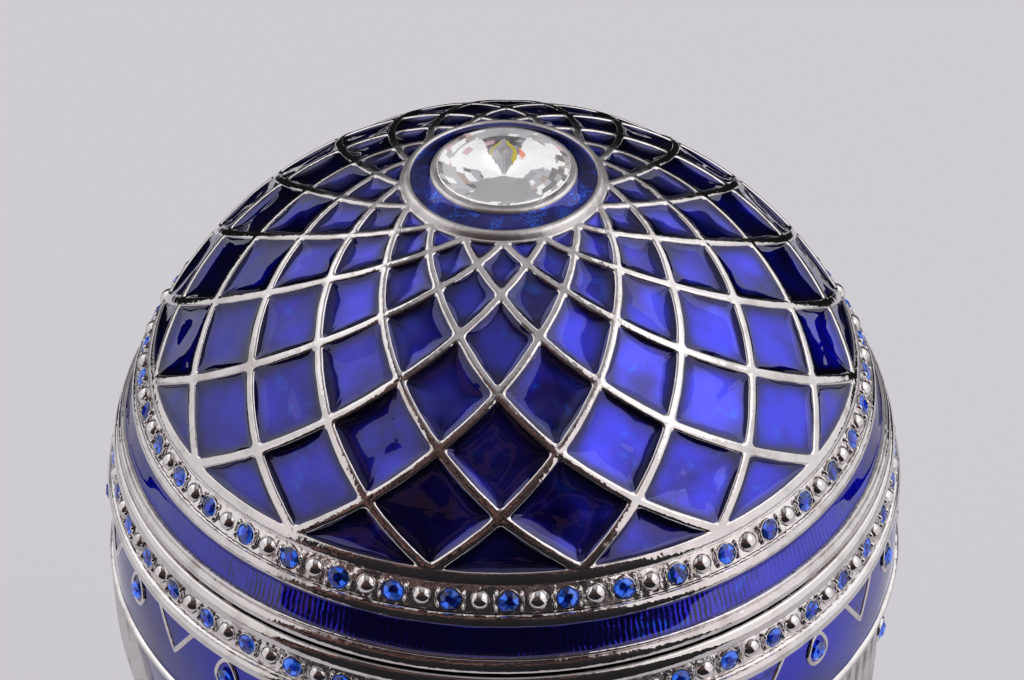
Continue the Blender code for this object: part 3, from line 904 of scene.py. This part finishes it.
# Where the enamel meets the rib, how far its pool lies below that, how wide its climb is, how deep
# the pool sags for the size of its cell, how high its waves are, and where its rows of points run
ENAMEL_EDGE = 0.19 * MM
ENAMEL_CLIMB = 0.36 * MM
ENAMEL_SPREAD = 0.5
ENAMEL_BOWL = 0.07
ENAMEL_SWELL = 0.08 * MM
ENAMEL_INWARD = (0.0, 0.07, 0.15, 0.25, 0.37, 0.52, 0.7, 0.95, 1.25, 1.6)
ENAMEL_BASE = -CELL_FLOOR + 0.02 * MM
# How far from the walls the darkening of the enamel reaches, in millimetres: partly thicker enamel, partly
# painted shade
WALL_SHADE_REACH = 1.05


def hollow(spans, spread):
    """Nought at any wall, and softly up to one away from them all."""
    share = 1.0
    for span in spans:
        share *= 1 - math.exp(-span / spread)
    return share


def dome_enamel():
    """The enamel in every cell: a pool that climbs its silver walls."""
    form = Form()
    for opening in OPENINGS:
        scale = min(1.0, opening.reach / (2.1 * MM))
        climb = ENAMEL_CLIMB * min(1.0, 0.25 + 0.9 * scale)
        bowl = ENAMEL_BOWL * chance.uniform(0.75, 1.3) * opening.reach
        lean = complex(chance.uniform(-0.04, 0.04), chance.uniform(-0.03, 0.05))
        wide = opening.reach / MM / 1.6
        heart = hollow(opening.walls(opening.middle), wide)

        def poured(place, inward=None):
            """The enamel's place there, and how near its wall is, 0 to 1: the finish darkens it there, partly
            as thicker enamel and partly as painted shade.
            """
            x, y = opening.centre * 40 + place.real / MM, place.imag / MM
            spans = opening.walls(place)
            sunk = bowl * hollow(spans, wide) / heart
            spans = sorted(span / scale for span in spans)
            if inward is not None:
                spans[0] = inward
            near = 1 - hollow(spans, ENAMEL_SPREAD * (1 + 0.45 * swell(x, y, 0.0, 2.4)))
            off = place - opening.middle
            tilt = off.real * lean.real + off.imag * lean.imag
            soft = (tilt + ENAMEL_SWELL * swell(x, y, 0.0, 3.2, 7.0)) * (1 - near)
            lift = max(-ENAMEL_EDGE - climb * (1 - near) - sunk + soft, -CELL_FLOOR + 0.04 * MM)
            return opening.spot(place, lift), 1 - hollow(spans, WALL_SHADE_REACH)

        loop = form.loop([opening.spot(p, ENAMEL_BASE) for p in opening.outline(1.0, -0.02 * MM, 1.0)])
        form.fan(loop, opening.spot(opening.middle, ENAMEL_BASE))
        rows = []
        for inward in ENAMEL_INWARD:
            places = opening.outline(1.0, inward * MM * scale - 0.01 * MM, 1.0)
            rows.append([poured(p, inward) for p in places])
        for share in (0.75, 0.5, 0.25):
            rows.append([poured(mix(opening.middle, p, share)) for p in places])
        for row in rows:
            following = [form.point(*made) for made in row]
            form.strip(loop, following)
            loop = following
        form.fan(loop, *poured(opening.middle))
    form.build("dome_enamel", DOME_BLUE, sharp=60)


def ring_enamel(name, finish, top, bottom, depth=0.3, climb=0.2):
    """A ring of enamel in a sunk band, its depth and its climb at the edges in millimetres."""
    form = Form()
    angles = turns(336)
    slope = 0.05 * MM
    waves = 0.03
    edges = [0.0, 0.1, 0.22, 0.38, 0.6, 0.9]
    steps = [(top + slope - e * MM, math.exp(-e / 0.28)) for e in edges]
    steps += [(mix(top, bottom, s), 0.0) for s in (0.35, 0.5, 0.65)]
    steps += [(bottom - slope + e * MM, math.exp(-e / 0.28)) for e in edges[::-1]]
    loops = []
    for height, up in steps:
        places = []
        for a in angles:
            wave = swell(math.sin(a) * 47, math.cos(a) * 47, height / MM, 3.4, 5.0)
            lift = -depth + climb * up * (1 + 0.4 * wave) + waves * wave
            places.append(on_egg(a, height, lift * MM))
        # The climb's share also goes to the finish as edge, which darkens the enamel there: partly thicker
        # enamel, partly painted shade
        loops.append(form.loop(places, up))
    for height in (bottom - slope, top + slope):
        loops.append(form.loop([on_egg(a, height, ENAMEL_BASE) for a in angles], 1.0))
    form.join(loops)
    form.build(name, finish, sharp=60)


def crown_enamel():
    """The granular enamel between the crown's two rings."""
    form = Form()
    angles = turns(160)
    form.join([form.ring(r, z, angles) for r, z in in_metres(CROWN_ENAMEL)])
    form.build("crown_enamel", CROWN_BLUE, sharp=60)


def crystal():
    """The clear round stone: a low cone of facets in front and a deep one behind."""
    form = Form()
    facets = 16
    tilt = math.pi / facets
    girdle = form.ring(GIRDLE_RADIUS, GIRDLE_HEIGHT, turns(2 * facets, tilt))
    under = form.ring(GIRDLE_RADIUS, GIRDLE_HEIGHT - GIRDLE_EDGE, turns(2 * facets, tilt))
    rise = CRYSTAL_HIGH.z - GIRDLE_HEIGHT
    bend = form.ring(GIRDLE_RADIUS * 0.7, GIRDLE_HEIGHT + rise * 0.34, turns(facets))
    form.strip(girdle, under)
    for k in range(facets):
        form.face(bend[k - 1], bend[k], girdle[2 * k - 2])
        form.face(girdle[2 * k - 2], girdle[2 * k - 1], bend[k])
        form.face(girdle[2 * k - 1], girdle[2 * k], bend[k])
    form.fan(bend, (0.0, 0.0, CRYSTAL_HIGH.z))
    form.fan(under, (0.0, 0.0, CRYSTAL_LOW.z))
    form.build("crown_crystal", CRYSTAL, ["crystal"], sharp=1)


CRYSTAL_SECTORS = 192
CRYSTAL_RINGS = 26


def crystal_fire(turn, share, pick):
    """The painted reflection or fire that the crystal's foil glows with, by the turn from the front and the
    share of the way out.
    """
    turn = math.degrees((turn + math.pi) % FULL - math.pi)
    off = abs(turn)
    on_left = turn <= 0
    wedge = mix(54, 35, min(1.0, max(0.0, (share - 0.4) / 0.25)))
    if off < wedge:
        return "grey" if share < 0.88 else pick(("grey", "pale", "white"))
    if off > 153 and 0.34 < share < 0.72:
        if on_left and off < 166 and 0.5 < share < 0.6:
            return "pink"
        return pick(("dark", "smoke", "smoke", "dark", "smoke", "grey"))
    if on_left and 119 < off < 134 and 0.55 < share < 0.68:
        return "pink"
    if off > 148 and share > 0.7:
        return pick(("pale", "grey", "pale", "white"))
    if off < 90 and share > 0.3:
        return pick(("white", "pale", "white", "grey", "pale", "smoke", "tan", "white", "pale"))
    if share > 0.76:
        return pick(("white", "pale", "white", "grey", "tan", "dark", "white", "pale", "pink"))
    return "white"


# The long facets at the back of the crystal's foil: the painted fire they glow with, and their corners
# in girdle radii, to the right and to the back of its tip
LONG_FACETS = (
    ("pale", (0.0, 0.01), (0.0, 0.63), (-0.115, 0.276)),
    ("grey", (0.0, 0.01), (0.086, 0.171), (0.0, 0.63)),
    ("yellow", (-0.008, 0.6), (-0.085, 0.47), (-0.13, 0.315), (-0.112, 0.29)),
    ("yellow", (0.008, 0.59), (0.086, 0.171), (0.13, 0.27), (0.07, 0.5)),
    ("orange", (0.162, 0.41), (0.155, 0.276), (0.216, 0.232), (0.258, 0.29)),
)


def crystal_foil():
    """The foil on the crystal's back, a hair inside its facets, glowing with painted reflections and fire."""
    form = Form()
    sparks = random.Random(5)
    angles = turns(CRYSTAL_SECTORS)
    rim = GIRDLE_HEIGHT - GIRDLE_EDGE - 0.02 * MM
    slope = (rim - CRYSTAL_LOW.z) / GIRDLE_RADIUS
    shares = [0.97 * i / CRYSTAL_RINGS for i in range(CRYSTAL_RINGS + 1)]
    known = {}
    edges = []

    def height(radius, lift):
        return CRYSTAL_LOW.z + lift + radius * slope

    for lift in (0.07 * MM, 0.04 * MM):
        radii = [share * GIRDLE_RADIUS for share in shares]
        rings = [form.ring(radius, height(radius, lift), angles) for radius in radii[1:]]
        tip = form.point((0.0, 0.0, height(0.0, lift)))
        for i, ring in enumerate(rings):
            share = (shares[i] + shares[i + 1]) / 2
            for k in range(CRYSTAL_SECTORS):
                if i:
                    form.face(rings[i - 1][k - 1], rings[i - 1][k], ring[k], ring[k - 1])
                else:
                    form.face(tip, ring[k - 1], ring[k])
                row = i // 3
                patch = (row, (k + 3 * row + i) // (9 - row // 2))
                if patch not in known:
                    known[patch] = sparks.random()
                middle = angles[k - 1] + math.pi / CRYSTAL_SECTORS
                form.fire(crystal_fire(middle, share, lambda kinds: kinds[int(known[patch] * len(kinds))]))
        edges.append(rings[-1])
    form.strip(*edges)
    for kind, *corners in LONG_FACETS:
        sheets = []
        for lift in (0.1 * MM, 0.08 * MM):
            flat = [(x * GIRDLE_RADIUS, y * GIRDLE_RADIUS) for x, y in corners]
            sheets.append(form.loop([(x, y, height(math.hypot(x, y), lift)) for x, y in flat]))
            form.face(*sheets[-1])
            form.fire(kind)
        form.strip(*sheets)
    form.build("crystal_foil", GLOWING_FOIL, sharp=1)


STONE_SIDES = 8
STONE_TABLE = 0.52
STONE_RISE = 0.28 * MM
STONE_DROP = 0.5 * MM
# Painted reflections for the small stones' foil facets, dark and light, picked at random
BACKING_FIRES = ("dark", "dark", "smoke", "grey", "white", "white")


def cut_stone(form, spot, z, radius, rise, turn):
    """A small round cut stone: table, crown facets, girdle and a pointed back."""
    table = form.circle(spot, STONE_TABLE * radius, z + rise, turns(STONE_SIDES, turn))
    girdle = form.circle(spot, radius, z, turns(STONE_SIDES, turn + math.pi / STONE_SIDES))
    form.face(*table)
    for k in range(STONE_SIDES):
        form.face(table[k - 1], table[k], girdle[k - 1])
        form.face(girdle[k - 1], girdle[k], table[k])
    form.fan(girdle, spot.at(0.0, 0.0, z - STONE_DROP))


def stone_backing(form, spot, z, radius, turn):
    """Foil just inside the back facets of a small stone, each facet glowing with a painted reflection."""
    angles = turns(STONE_SIDES, turn + math.pi / STONE_SIDES)
    loops = []
    for lift in (0.06 * MM, 0.03 * MM):
        loop = form.circle(spot, 0.9 * radius, z - 0.1 * STONE_DROP + lift, angles)
        tip = form.point(spot.at(0.0, 0.0, z - STONE_DROP + lift))
        for k in range(STONE_SIDES):
            form.face(loop[k - 1], loop[k], tip)
            form.fire(chance.choice(BACKING_FIRES))
        loops.append(loop)
    form.strip(*loops)


# A stone's cup: shares of the stone's radius, and heights, from its outside over its lip
CUP_LIP = ((1.16, -0.14 * MM), (1.12, -0.03 * MM), (1.05, -0.02 * MM), (1.0, -0.1 * MM))


def setting(form, spot, radius):
    """A cup with four claws that holds a small stone."""
    angles = turns(20)
    outline = ((1.16, ROW_FLOOR), *CUP_LIP, (0.96, ROW_FLOOR))
    form.join([form.circle(spot, radius * share, z, angles) for share, z in outline])
    for side in (-1, 1):
        for high in (-1, 1):
            x = side * radius * chance.uniform(1.14, 1.24)
            y = high * radius * chance.uniform(0.5, 0.7)
            rise = chance.uniform(0.22, 0.36) * MM - ROW_FLOOR
            form.dome(spot, x, y, 0.33 * MM, rise, 9, 4, squash=1.7)


def bead(form, spot, size):
    """A round silver bead on its collar."""
    form.dome(spot, 0.0, 0.0, 1.44 * MM * size, 0.52 * MM, 22, 4)
    form.dome(spot, 0.0, 0.0, 1.26 * MM * size, 1.18 * MM * size, 22, 8)


# Across a row's cast bed: the share of its half width, and its lift in millimetres
BED_TOP = ((-1.0, -0.3), (-0.6, -0.24), (-0.2, -0.24), (0.2, -0.24), (0.6, -0.24), (1.0, -0.3))
BED_ROUGHNESS = 0.25


def cast_bed(name, middle, half, sides):
    """The uneven floor of a stone row, rough from the casting."""
    form = Form()
    angles = turns(sides)
    loops = [form.loop([on_egg(a, middle - half, ROW_FLOOR) for a in angles])]
    for share, lift in BED_TOP:
        places = []
        for a in angles:
            rough = swell(a * 49, share * 1.6, 1.0, 0.55, 4.0)
            places.append(on_egg(a, middle + share * half, (lift + BED_ROUGHNESS * rough) * MM))
        loops.append(form.loop(places))
    loops.append(form.loop([on_egg(a, middle + half, ROW_FLOOR) for a in angles]))
    form.join(loops)
    form.build(name, ROUGH_SILVER)


def stone_row(name, stones, offset, top, bottom):
    """Stones in their cups and silver beads by turns, in a sunk channel."""
    silver = Form()
    glass = Form()
    foil = Form()
    middle = (top + bottom) / 2
    step = FULL / stones / 2
    seat = -0.02 * MM
    radius = STONE_RADIUS * 0.99
    cast_bed(name + "_bed", middle, (top - bottom) / 2 - 0.1 * MM, 18 * stones)
    for k in range(2 * stones):
        angle = offset + k * step
        if k % 2 == 0:
            spot = Spot(angle, middle + chance.uniform(-0.06, 0.06) * MM)
            setting(silver, spot, STONE_RADIUS)
            turn = chance.uniform(0, 1)
            cut_stone(glass, spot, seat, radius, STONE_RISE, turn)
            stone_backing(foil, spot, seat, radius, turn)
        else:
            bead(silver, Spot(angle, middle), chance.uniform(0.95, 1.03))
        for side in (-1, 1):
            fin = Spot(angle + side * step * 0.5, middle)
            off, rise = chance.uniform(-0.2, 0.2) * MM, chance.uniform(0.5, 0.74) * MM
            silver.dome(fin, 0.0, off, 0.24 * MM, rise, 9, 4, squash=4.4)
    silver.build(name + "_settings", SILVER)
    foil.build(name + "_foil", GLOWING_FOIL, sharp=1)
    glass.build(name + "_stones", BLUE_STONE, sharp=1)


def body_casting():
    """The silver cup of the egg with its collar and bands."""
    form = Form()
    angles = turns(240)
    top = SEAM - GAP
    bands = [(top, -0.1 * MM)]
    bands += ridge(top, BODY_ROW_TOP, 0.55 * MM, base=0.1 * MM, steps=10)
    bands += channel(BODY_ROW_TOP, BODY_ROW_BOTTOM, ROW_DEPTH)
    bands += ridge(BODY_ROW_BOTTOM, FRIEZE_TOP, 0.5 * MM)
    bands += channel(FRIEZE_TOP, FRIEZE_BOTTOM, CELL_FLOOR)
    bands += ridge(FRIEZE_BOTTOM, COLUMN_TOP, 0.4 * MM, inset=0.03 * MM)
    bands += channel(COLUMN_TOP, COLUMN_BOTTOM, CELL_FLOOR, 24)
    bands += ridge(COLUMN_BOTTOM, BOWL_TOP, 0.4 * MM, inset=0.03 * MM)
    bands += channel(BOWL_TOP, BOWL_BOTTOM, CELL_FLOOR, 6)
    bands += rounded_rim(BOWL_BOTTOM - 0.03 * MM, BODY_BOTTOM + 0.05 * MM, 0.3 * MM)
    outline = on_profile(bands)
    first = form.ring(*outline[0], angles)
    loop = form.carried(first, outline[1:] + [(egg_radius(BODY_BOTTOM), BODY_BOTTOM)], angles)
    form.fan(loop, (0.0, 0.0, BODY_BOTTOM))
    brim = top + COLLAR_RISE
    inside = [
        (COLLAR_RADIUS, top), (COLLAR_RADIUS, brim - COLLAR_ROUND), (COLLAR_RADIUS - COLLAR_ROUND, brim),
        (COLLAR_BORE + COLLAR_ROUND, brim), (COLLAR_BORE, brim - COLLAR_ROUND), (COLLAR_BORE, 96.0 * MM),
    ]
    inside += [(egg_radius(h * MM) - WALL - 0.5 * MM, h * MM) for h in CUP_HEIGHTS]
    loop = form.carried(first, inside, angles)
    form.fan(loop, (0.0, 0.0, CUP_HEIGHTS[-1] * MM))
    form.build("body_casting", TURNED_SILVER, ["egg_body"])


# Across a wire: the share of its half width, and how far it lies below its top
WIRE_SECTION = (
    (-1.0, 0.18 * MM), (-0.85, 0.06 * MM), (-0.45, 0.0), (0.45, 0.0), (0.85, 0.06 * MM), (1.0, 0.18 * MM),
)


def ribbon(form, path, half, top, closed=True):
    """A rounded silver wire along a path of angles and heights on the egg."""
    count = len(path)
    shape = [(-1.0, ROOT), *((x, top - drop) for x, drop in WIRE_SECTION), (1.0, ROOT)]
    sections = []
    for i, (angle, height) in enumerate(path):
        before = path[i - 1] if closed or i else path[0]
        after = path[(i + 1) % count] if closed or i < count - 1 else path[-1]
        spot = Spot(angle, height)
        way = on_egg(*after) - on_egg(*before)
        way -= spot.out * way.dot(spot.out)
        side = spot.out.cross(way.normalized())
        sections.append(form.loop([spot.middle + side * (x * half) + spot.out * z for x, z in shape]))
    form.join(sections, closed)
    if not closed:
        form.face(*sections[0])
        form.face(*sections[-1][::-1])


def pennant_enamel():
    """Paler enamel inside every pennant."""
    form = Form()
    steps = 8
    for k in range(REPEATS):
        centre = DROP_TURN + (k + 0.5) * FULL / REPEATS
        sheets = []
        for lift, waves in ((-0.13, 0.03), (ROOT / MM, 0.0)):
            rows = []
            for j in range(steps + 1):
                half = mix(PENNANT_HALF, 0.3 * MM, j / steps)
                height = mix(FRIEZE_TOP + 0.03 * MM, PENNANT_TIP, j / steps)
                row = []
                for i in range(steps + 1):
                    x = mix(-half, half, i / steps)
                    wave = waves * swell(centre * 40 + x / MM, height / MM, 0.0, 1.3, 9.0)
                    row.append(on_egg(centre + x / EQUATOR_RADIUS, height, (lift + wave) * MM))
                rows.append(form.loop(row))
            for a, b in zip(rows, rows[1:]):
                form.strip(a, b, closed=False)
            right = [row[-1] for row in rows[1:-1]]
            left = [row[0] for row in rows[-2:0:-1]]
            sheets.append(rows[0] + right + rows[-1][::-1] + left)
        form.strip(*sheets)
    form.build("pennant_enamel", PENNANT_BLUE, sharp=60)


def frieze_wires():
    """The wires of the pennants that hang from the ridge, and of the drop shaped cups."""
    form = Form()
    steps = 10
    for k in range(REPEATS):
        axis = DROP_TURN + FULL * k / REPEATS
        centre = axis + math.pi / REPEATS
        corners = [(-PENNANT_HALF, FRIEZE_TOP), (0.0, PENNANT_TIP), (PENNANT_HALF, FRIEZE_TOP)]
        places = []
        for a, b in zip(corners, corners[1:]):
            places += [(mix(a[0], b[0], i / steps), mix(a[1], b[1], i / steps)) for i in range(steps)]
        places.append(corners[-1])
        path = [(centre + x / EQUATOR_RADIUS, height) for x, height in places]
        ribbon(form, path, 0.34 * MM, 0.02 * MM, closed=False)
        low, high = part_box(f"drop_stone_{k + 1:02d}")
        height = (low.z + high.z) / 2
        path = []
        for turn in turns(40):
            above = max(0.0, math.sin(turn))
            across = DROP_HALF * math.cos(turn) * (1 - 0.25 * above)
            rise = math.sin(turn) * (FRIEZE_TOP - 0.2 * MM - height if above else DROP_HALF)
            path.append((axis + across / EQUATOR_RADIUS, height + rise))
        ribbon(form, path, 0.27 * MM, 0.06 * MM)
    form.build("frieze_wires", SILVER)


def columns():
    """Eight fluted columns down the body."""
    form = Form()
    rows = 40
    steps = 60
    across = []
    for i in range(steps + 1):
        x = -1 + 2 * i / steps
        flute = abs(math.cos(x * math.pi * FLUTES / 2))
        across.append((x, COLUMN_RISE - FLUTE_DEPTH * flute ** 0.55, flute))
    for middle in turns(COLUMNS, COLUMN_TURN):
        strips = []
        for j in range(rows + 1):
            height = mix(COLUMN_TOP, COLUMN_BOTTOM, j / rows)
            rise = mix(0.3, 1.0, min(1.0, j / rows * 5))
            line = []
            for x, lift, flute in ((-1.02, ROOT, 0.0), *across, (1.02, ROOT, 0.0)):
                if lift > 0:
                    lift *= rise
                line.append(form.point(on_egg(middle + x * COLUMN_HALF, height, lift), flute))
            strips.append(line)
        form.join(strips, closed=False)
        form.face(*strips[0])
        form.face(*strips[-1][::-1])
    form.build("columns", FLUTED_SILVER, sharp=50)


# A panel stone's cup: radii and heights in millimetres
PANEL_CUP = ((1.7, -0.6), (1.7, -0.1), (1.6, 0.1), (1.4, 0.15), (1.25, 0.1), (1.2, -0.5))


def placed_stones():
    """The sixteen drop stones and eight panel stones, with the panel stones' cups."""
    cups = Form()
    foil = Form()
    names = [f"drop_stone_{k + 1:02d}" for k in range(REPEATS)] + [f"panel_stone_{k + 1}" for k in range(8)]
    seat = 0.12 * MM
    for name in names:
        low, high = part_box(name)
        centre = (low + high) / 2
        spot = Spot(math.atan2(centre.x, -centre.y), centre.z)
        glass = Form()
        turn = chance.uniform(0, 1)
        cut_stone(glass, spot, seat, STONE_RADIUS, 0.4 * MM, turn)
        stone_backing(foil, spot, seat, STONE_RADIUS, turn)
        glass.build(name + "_cut", BLUE_STONE, [name], sharp=1)
        if name.startswith("panel"):
            cups.join([cups.circle(spot, r, z, turns(28)) for r, z in in_metres(PANEL_CUP)])
    foil.build("placed_stone_foil", GLOWING_FOIL, sharp=1)
    cups.build("panel_stone_cups", SILVER)


def stand():
    """The round foot, turned from cast silver and hollow underneath."""
    form = Form()
    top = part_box("stand")[1].z
    outer = [(r, top + z) for r, z in in_metres(STAND_OUTLINE)] + [(STAND_FOOT, 0.0)]
    inner = in_metres(STAND_HOLLOW)
    angles = turns(160)
    first = form.ring(*outer[0], angles)
    form.fan(first, (0.0, 0.0, top))
    loop = form.carried(first, outer[1:] + inner, angles)
    form.fan(loop, (0.0, 0.0, inner[-1][1]))
    form.build("stand_casting", TURNED_SILVER, ["stand"])


SHEET_REACH = 0.30
SHEET_SIDES = 96


def sheet(name, form, finish):
    """A flat or bent sheet of the studio, which isn't part of the egg."""
    data = bpy.data.meshes.new(name)
    data.from_pydata(form.points, [], form.faces)
    data.shade_smooth()
    data.materials.append(finish)
    made = put_in_scene(name, data)
    return made


def floor():
    """The near paper, which the egg mirrors."""
    form = Form()
    form.face(*form.ring(SHEET_REACH, 0.0, turns(SHEET_SIDES)))
    sheet("floor", form, PAPER)


def backdrop():
    """The far paper, turned round the axis and bent up, which only the camera sees."""
    form = Form()
    bends = [math.pi / 2 * i / 8 for i in range(9)]
    bend = [(2.4 + 0.6 * math.sin(t), 0.6 - 0.6 * math.cos(t)) for t in bends]
    outline = [(SHEET_REACH, 0.0), (1.2, 0.0), *bend, (3.0, 3.0)]
    form.join([form.ring(r, z, turns(SHEET_SIDES)) for r, z in outline], closed=False)
    far = sheet("backdrop", form, PAPER)
    far.visible_glossy = far.visible_diffuse = far.visible_transmission = far.visible_shadow = False


def dark_card():
    """A dark card in front of the table, out of the picture, that the front bands mirror."""
    form = Form()
    half, near, far, low, high = 0.24, -0.16, -0.55, 0.002, 0.30
    wide = half * 1.8
    form.face(*form.loop([(-half, near, low), (half, near, low), (wide, far, high), (-wide, far, high)]))
    card = sheet("dark_card", form, FELT)
    card.visible_camera = card.visible_shadow = card.visible_diffuse = False


def softbox(name, azimuth, elevation, spread, radiance, distance=2.4):
    """A light panel that faces the egg from an azimuth and elevation.

    It is as wide and high as the two half angles of its spread.
    """
    width, height = (2 * distance * math.tan(math.radians(half)) for half in spread)
    lamp = bpy.data.lights.new(name, "AREA")
    lamp.shape = "RECTANGLE"
    lamp.size = width
    lamp.size_y = height
    lamp.energy = radiance * math.pi * width * height
    box = put_in_scene(name, lamp)
    rise = math.radians(elevation)
    out = around(math.radians(azimuth), math.cos(rise), math.sin(rise))
    box.location = LOOK_AT + out * distance
    box.rotation_euler = (-out).to_track_quat("-Z", "Y").to_euler()
    box.visible_camera = False


def room():
    """What the polished metal mirrors beyond the lights: a pale ceiling and back, warm patches in front."""
    world = bpy.data.worlds.new("room")
    bpy.context.scene.world = world
    world.use_nodes = True
    studio = Nodes(world.node_tree)
    way = studio.node("ShaderNodeTexCoord", {}, {}, "Generated")
    up = studio.node("ShaderNodeSeparateXYZ", {}, {"Vector": way}, "Z")
    back = up.beside("Y")
    ceiling = studio.limit(up, 0.86, 0.975)
    behind = studio.limit(back, 0.0, 0.5) * studio.limit(up, 0.12, 0.6)
    patches = {"Vector": way, "Scale": 7.0, "Detail": 3.0, "Roughness": 0.6}
    warm = studio.limit(studio.node("ShaderNodeTexNoise", {}, patches), 0.48, 0.56)
    warm = warm * studio.limit(back, -0.35, -0.1, 1.0, 0.0) * studio.limit(up, 0.84, 0.92, 1.0, 0.0)
    glow = ceiling * 0.42 + behind * 0.34 + studio.limit(up, 0.45, 0.85, 0.011, 0.05) + warm * 0.2
    background = world.node_tree.nodes["Background"].inputs
    studio.set(background["Strength"], glow)
    studio.set(background["Color"], studio.blend(warm, (0.97, 0.96, 1.0), (1.0, 0.5, 0.43)))


def make_camera():
    lens = bpy.data.cameras.new("camera")
    lens.lens = LENS
    lens.clip_start = 0.01
    camera = put_in_scene("camera", lens)
    camera.location = LOOK_AT + Vector((0.0, -math.cos(LOOK_DOWN), math.sin(LOOK_DOWN))) * LOOK_FROM
    camera.rotation_euler = (math.pi / 2 - LOOK_DOWN, 0.0, 0.0)
    bpy.context.scene.camera = camera


lid_casting()
dome_enamel()
crown_enamel()
ring_enamel("lid_band_enamel", BAND_BLUE, LID_BAND_TOP, LID_BAND_BOTTOM)
stone_row("lid_row", LID_STONES, LID_STONE_TURN, LID_ROW_TOP, LID_ROW_BOTTOM)
crystal()
crystal_foil()
body_casting()
stone_row("body_row", BODY_STONES, BODY_STONE_TURN, BODY_ROW_TOP, BODY_ROW_BOTTOM)
ring_enamel("frieze_enamel", PANEL_BLUE, FRIEZE_TOP, FRIEZE_BOTTOM, depth=0.2, climb=0.12)
ring_enamel("panel_enamel", PANEL_BLUE, COLUMN_TOP, COLUMN_BOTTOM)
ring_enamel("bowl_enamel", PANEL_BLUE, BOWL_TOP, BOWL_BOTTOM)
pennant_enamel()
frieze_wires()
columns()
placed_stones()
stand()

floor()
backdrop()
dark_card()
room()
softbox("right_softbox", 88, 24, (48, 44), 1.0)
softbox("right_lamp", 82, 43, (19, 17), 0.8, 2.3)
softbox("left_softbox", -98, 20, (40, 40), 0.86)
softbox("left_lamp", -106, 48, (22, 13), 0.35, 2.3)
bpy.context.scene.view_settings.view_transform = "Standard"
make_camera()
